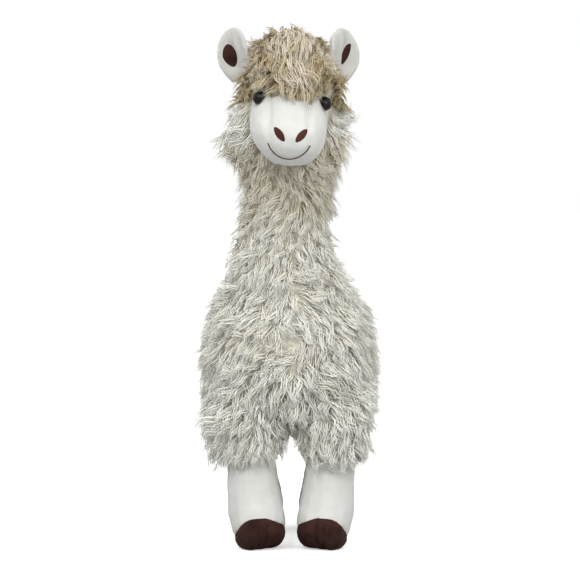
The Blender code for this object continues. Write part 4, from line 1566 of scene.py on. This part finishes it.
@dataclass
class Eye:
    """A glossy black dome on its shank.

    Attributes:
        side: Which eye.
        width: Across the dome.
        bulge: Height of the dome.
        shank_width: Across the shank.
        proud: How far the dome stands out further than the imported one.
        segments: Faces round it.
    """

    side: Side
    width: float = 0.0122
    bulge: float = 0.0058
    shank_width: float = 0.0036
    proud: float = 0.0010
    segments: int = 48

    def build(self) -> None:
        """Turns the eye round the axis that its packed dome and washer share."""
        node = f"eye_{self.side.word}"
        found = EyeSeat.found(self.side)
        tip, end = found.tip, found.end
        tip += self.proud
        turn = found.axis.to_track_quat("Z", "X").to_matrix().to_4x4()
        seat = Matrix.Translation(found.washer) @ turn
        profile = self.profile(tip, end)
        points = [seat @ Vector((0, 0, tip))]
        for radius, height in profile:
            for k in range(self.segments):
                angle = 2 * math.pi * k / self.segments
                points.append(seat @ Vector((radius * math.cos(angle), radius * math.sin(angle), height)))
        points.append(seat @ Vector((0, 0, end)))
        faces = []
        count = self.segments
        for k in range(count):
            after = (k + 1) % count
            faces.append((0, 1 + k, 1 + after))
            for i in range(len(profile) - 1):
                low, high = 1 + i * count, 1 + (i + 1) * count
                faces.append((low + after, low + k, high + k, high + after))
            last = 1 + (len(profile) - 1) * count
            faces.append((last + after, last + k, len(points) - 1))
        mesh = bpy.data.meshes.new(f"{node}_dome")
        mesh.from_pydata(points, [], faces)
        mesh.shade_smooth()
        mesh.materials.append(EYE_BLACK.build())
        placed(linked(mesh.name, mesh), "eye", node)

    def profile(self, tip: float, end: float) -> list[tuple[float, float]]:
        """Returns radius and height of each ring from the dome's tip to the shank's end."""
        half = self.width / 2
        rings = []
        for k in range(1, 15):
            angle = math.pi / 2 * k / 14
            rings.append((half * math.sin(angle), tip - self.bulge * (1.0 - math.cos(angle))))
        base = tip - self.bulge
        rings += [(half * 0.97, base - 0.0005), (half * 0.85, base - 0.0008), (self.shank_width / 2, base - 0.0008)]
        return rings + [(self.shank_width / 2, end + 0.0004), (self.shank_width / 2 * 0.8, end)]


@dataclass
class Ears:
    """Both ears with their dark linings.

    Attributes:
        lining_width: Across the left and the right lining.
        lining_length: From the low end of each to its top.
        lining_middle: Height of the middle of each up the ear.
        lining_across: How far each is off the ear's middle.
        lining_slope: How far each leans, from upright.
    """

    lining_width: tuple[float, float] = (0.0125, 0.0072)
    lining_length: tuple[float, float] = (0.0205, 0.0200)
    lining_middle: tuple[float, float] = (0.0225, 0.0235)
    lining_across: tuple[float, float] = (-0.0062, 0.0052)
    lining_slope: tuple[float, float] = (math.radians(-4), math.radians(18))

    def build(self) -> None:
        """Makes each ear, then lays its lining in the hollow."""
        for k, seat in enumerate(EAR_SEATS):
            node = f"ear_{seat.side.word}"
            off = self.lining_across[k]
            # The ears take the darker copy of the white plush, which holds their painted shade.
            cover = EarCover(node, "plush", SHADED_EAR_PLUSH, ("forelock",), voxel=0.0011, rounds=5, seat=seat, hollow=off)
            cover.flap = math.copysign(0.0085, -off)
            cover.broaden = 0.0 if seat.side is Side.LEFT else 0.0055
            cover.build()
            outline = [
                (off + across, self.lining_middle[k] + along)
                for along, across in leaf(self.lining_length[k], self.lining_width[k], self.lining_slope[k], 1.8)
            ]
            lining = f"ear_lining_{seat.side.word}"
            patch = SewnPatch(f"{lining}_cloth", "brown", BROWN_PLUSH, lining, seat.frame(), outline, dome=0.0008)
            patch.build(surface_of(cover.made))


@dataclass
class Leg:
    """A short-pile shin and its hoof boot, melted as one and parted along their seam.

    Attributes:
        name: The leg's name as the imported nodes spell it.
        voxel: Edge length of the cover's skin.
        rounds: How often it is relaxed.
        valley: Depth of the seam's valley.
        valley_width: How far from the seam the valley reaches.
        toe_in: How far the toe is turned in.
        cleft_depth: Depth of the toe's cleft.
        tuck: How far the shin is drawn in where the boot hides it.
    """

    name: str
    voxel: float = 0.0020
    rounds: int = 5
    valley: float = 0.0010
    valley_width: float = 0.0026
    toe_in: float = math.radians(13)
    cleft_depth: float = 0.0034
    tuck: float = 0.006
    middle: Vector = field(init=False)

    def build(self) -> None:
        """Makes shin and boot, sewn to each other."""
        shin, hoof = f"shin_{self.name}", f"hoof_{self.name}"
        low, high = (Vector(corner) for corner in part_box(hoof))
        self.middle = (low + high) / 2
        made = remeshed(solid_copy(f"leg_{self.name}", shin, hoof), self.voxel, self.rounds, 0.0002)
        shins, hooves = tree_of(shin), tree_of(hoof)
        verts = made.data.vertices
        sides = [hooves.find_nearest(v.co)[3] - shins.find_nearest(v.co)[3] - self.raised(v.co) for v in verts]
        hidden = [
            side > 0 and hooves.ray_cast(v.co + v.normal * 0.0004, v.normal, 0.02)[0] is not None
            for v, side in zip(verts, sides)
        ]
        move_to(made.data, [v.co - v.normal * (self.tuck if deep else 0.0) for v, deep in zip(verts, hidden)])
        self.cleft(made)
        self.fold(made)
        moves = [v.co - v.normal * self.valley * ridge(side, self.valley_width) for v, side in zip(verts, sides)]
        move_to(made.data, moves)
        for sign, node, slot, finish in ((1, shin, "plush", WHITE_PLUSH), (-1, hoof, "brown", BROWN_PLUSH)):
            half = linked(f"{node}_cover", parted(made.data, sides, sign))
            half.data.materials.append(finish.build())
            half.data.shade_smooth()
            placed(half, slot, node)
        bpy.data.objects.remove(made)

    def beside(self, point: Vector) -> float:
        """Returns how far a point is on the outer side of the hoof's middle."""
        return (point.x - self.middle.x) * (-1 if "left" in self.name else 1)

    def raised(self, point: Vector) -> float:
        """Returns how far the boot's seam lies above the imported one."""
        out = self.beside(point)
        return 0.0038 - 0.0060 * eased(out, 0.004, 0.023) - 0.0030 * eased(-out, 0.006, 0.021)

    def cleft(self, made: bpy.types.Object) -> None:
        """Parts the toe in two lobes, the outer one lower, and draws the boot in under the shin's outer side."""
        sign = -1 if "left" in self.name else 1
        turn = Matrix.Rotation(-sign * self.toe_in, 3, "Z")
        across, ahead = turn @ Vector((1, 0, 0)), turn @ Vector((0, -1, 0))
        verts = made.data.vertices
        moves = []
        for vert in verts:
            rel = vert.co - self.middle
            u = rel.dot(across) - sign * 0.001
            front = eased(rel.dot(ahead), 0.008, 0.022) * (1.0 - eased(vert.co.z, 0.018, 0.032))
            press = self.cleft_depth * ridge(u, 0.0036) * front
            foot = 1.0 - eased(vert.co.z, 0.004, 0.018)
            notch = 0.0026 * ridge(u, 0.0045) * eased(rel.dot(ahead), 0.010, 0.022)
            inner = 0.0056 * eased(-self.beside(vert.co), 0.002, 0.014) * eased(rel.dot(ahead), 0.0, 0.02)
            draw = 0.0048 * eased(self.beside(vert.co), 0.008, 0.025) * (1.0 - eased(vert.co.z, 0.008, 0.034))
            moves.append(vert.co - vert.normal * press + Vector((-sign * draw, 0.0, (notch + inner) * foot)))
        move_to(made.data, moves)

    def fold(self, made: bpy.types.Object) -> None:
        """Lets the stuffed shin ripple a little, with faint folds across it."""
        verts = made.data.vertices
        moves = []
        for vert in verts:
            up = eased(vert.co.z, 0.022, 0.034)
            ripple = 0.0005 * swirl(vert.co, 0.013).x
            stretch = Vector((vert.co.x * 0.35, vert.co.y * 0.35, vert.co.z))
            folds = -0.0004 * max(0.0, 1.0 - abs(swirl(stretch, 0.009).z) * 6.0)
            moves.append(vert.co + vert.normal * (ripple + folds) * up)
        move_to(made.data, moves)


def parted(mesh: bpy.types.Mesh, sides: list[float], sign: int) -> bpy.types.Mesh:
    """Cuts a hollow shell where the measure of its points passes zero, and keeps one closed part.

    Args:
        mesh: The shell.
        sides: The measure at each of its points.
        sign: 1 keeps the part above zero and -1 the part below.

    Returns:
        The kept part as a new mesh.
    """
    shape = bmesh.new()
    shape.from_mesh(mesh)
    measure = {vert: side if abs(side) > 1e-6 else 1e-6 for vert, side in zip(shape.verts, sides)}
    middles = []
    for edge in [e for e in shape.edges if measure[e.verts[0]] * measure[e.verts[1]] < 0.0]:
        first, second = edge.verts
        share = measure[first] / (measure[first] - measure[second])
        middle = bmesh.utils.edge_split(edge, first, share)[1]
        measure[middle] = 0.0
        middles.append(middle)
    bmesh.ops.connect_verts(shape, verts=middles)
    others = [face for face in shape.faces if sum(measure[vert] for vert in face.verts) * sign < 0.0]
    bmesh.ops.delete(shape, geom=others, context="FACES")
    rims = [edge for edge in shape.edges if edge.is_boundary]
    bmesh.ops.bridge_loops(shape, edges=rims)
    bmesh.ops.recalc_face_normals(shape, faces=shape.faces)
    kept = bpy.data.meshes.new("part")
    shape.to_mesh(kept)
    shape.free()
    return kept


@dataclass
class Studio:
    """A pale floor, soft light and the photograph's camera.

    Attributes:
        picture_width: Width of the picture in pixels.
        pixel: Metres in a pixel where the llama stands.
        distance: From the camera to the llama.
        rise: Height of the camera's view above the horizon, in radians.
        from_above: Strength of the even light from above.
        from_below: Strength of the even light from below.
        key: Power of the key lamp.
        fill: Power of the fill lamp.
    """

    picture_width: int = 580
    pixel: float = 0.0008637
    distance: float = 2.6
    rise: float = math.radians(2.0)
    from_above: float = 1.13
    from_below: float = 0.38
    key: float = 17.0
    fill: float = 12.0

    def build(self) -> None:
        """Makes floor, world, lights and camera."""
        self.floor()
        self.light()
        self.camera()

    def floor(self) -> None:
        """Lays a wide pale floor that fades into the world."""
        mesh = bpy.data.meshes.new("floor")
        half = 30.0
        mesh.from_pydata([(-half, -half, 0), (half, -half, 0), (half, half, 0), (-half, half, 0)], [], [(0, 1, 2, 3)])
        made = linked("floor", mesh)
        finish = bpy.data.materials.new("pale floor")
        finish.use_nodes = True
        shader = finish.node_tree.nodes["Principled BSDF"]
        graph = Graph(finish.node_tree)
        seen = graph.node("ShaderNodeLightPath").outputs["Is Camera Ray"]
        pale = graph.node("ShaderNodeMixRGB", {0: seen, 1: (0.45, 0.45, 0.45, 1.0), 2: (0.94, 0.94, 0.94, 1.0)})
        glow = graph.maths("MULTIPLY", seen, 0.42)
        graph.feed(shader, {"Base Color": pale.outputs[0], "Emission Strength": glow})
        graph.feed(shader, {"Roughness": 1.0, "Emission Color": (1.0, 1.0, 1.0, 1.0)})
        mesh.materials.append(finish)

    def light(self) -> None:
        """Sets a bright even world and two soft lamps."""
        world = bpy.data.worlds.new("studio")
        world.use_nodes = True
        graph = Graph(world.node_tree)
        seen = graph.node("ShaderNodeLightPath").outputs["Is Camera Ray"]
        way = graph.node("ShaderNodeSeparateXYZ", {0: graph.node("ShaderNodeTexCoord").outputs["Generated"]})
        dome = graph.node(
            "ShaderNodeMapRange",
            {"Value": way.outputs["Z"], "From Min": -0.6, "To Min": self.from_below, "To Max": self.from_above},
        ).outputs[0]
        strength = graph.node("ShaderNodeMapRange", {"Value": seen, "To Min": dome, "To Max": 1.0})
        background = world.node_tree.nodes["Background"]
        background.inputs["Color"].default_value = (1.0, 1.0, 1.0, 1.0)
        world.node_tree.links.new(strength.outputs[0], background.inputs["Strength"])
        bpy.context.scene.world = world
        self.lamp("key", (-0.6, -1.7, 1.6), 0.8, self.key)
        self.lamp("fill", (0.9, -1.8, 0.9), 1.0, self.fill)
        bpy.context.scene.view_settings.view_transform = "Standard"

    def lamp(self, name: str, place: tuple[float, float, float], size: float, power: float) -> None:
        """Adds a square soft lamp that looks at the llama."""
        data = bpy.data.lights.new(name, "AREA")
        data.size = size
        data.energy = power
        made = bpy.data.objects.new(name, data)
        made.location = place
        made.rotation_euler = (Vector((0, 0, 0.25)) - Vector(place)).to_track_quat("-Z", "Y").to_euler()
        bpy.context.scene.collection.objects.link(made)

    def camera(self) -> None:
        """Places the camera so that the llama falls where the photograph shows it."""
        data = bpy.data.cameras.new("camera")
        data.sensor_width = 36.0
        data.lens = 36.0 * self.distance / (self.picture_width * self.pixel)
        made = bpy.data.objects.new("camera", data)
        target = Vector((0.0009, -0.06, 0.2228))
        back = Vector((0.0, -math.cos(self.rise), math.sin(self.rise)))
        made.location = target + back * self.distance
        made.rotation_euler = (-back).to_track_quat("-Z", "Y").to_euler()
        bpy.context.scene.collection.objects.link(made)
        bpy.context.scene.camera = made


def main() -> None:
    """Builds the llama and the studio."""
    logging.basicConfig(level=logging.INFO, format="%(name)s: %(message)s")
    noise.seed_set(SWIRL_SEED)
    skin = Skin()
    skin.build()
    placed(skin.made, "wool", "wool_coat", "forelock", "tail", *(f"legging_{leg}" for leg in LEGS))
    Wool(skin, WOOL_TUFTS, WOOL, "wool", 0.0041, 0.32, 0.6).build()
    Forelock(skin, FORELOCK_TUFTS, FORELOCK, "forelock", 0.0031, 0.14, 1.1).build()
    Quiff(skin, QUIFF_TUFTS, FORELOCK, "forelock", 0.0036, 0.05, 0.6).build()
    Face().build()
    for side in Side:
        Eye(side).build()
    Ears().build()
    for leg in LEGS:
        Leg(leg).build()
    stuffing = remeshed(solid_copy("stuffing", "filling"), 0.005, 2, -0.0055)
    stuffing.data.materials.clear()
    stuffing.data.materials.append(FILLING.build())
    placed(stuffing, "filling", "filling")
    for node in ("eye_washer_left", "eye_washer_right"):
        frame["nodes"][node].material_slots[0].material = WASHER_WHITE.build()
    Studio().build()


if __name__ == "__main__":
    main()
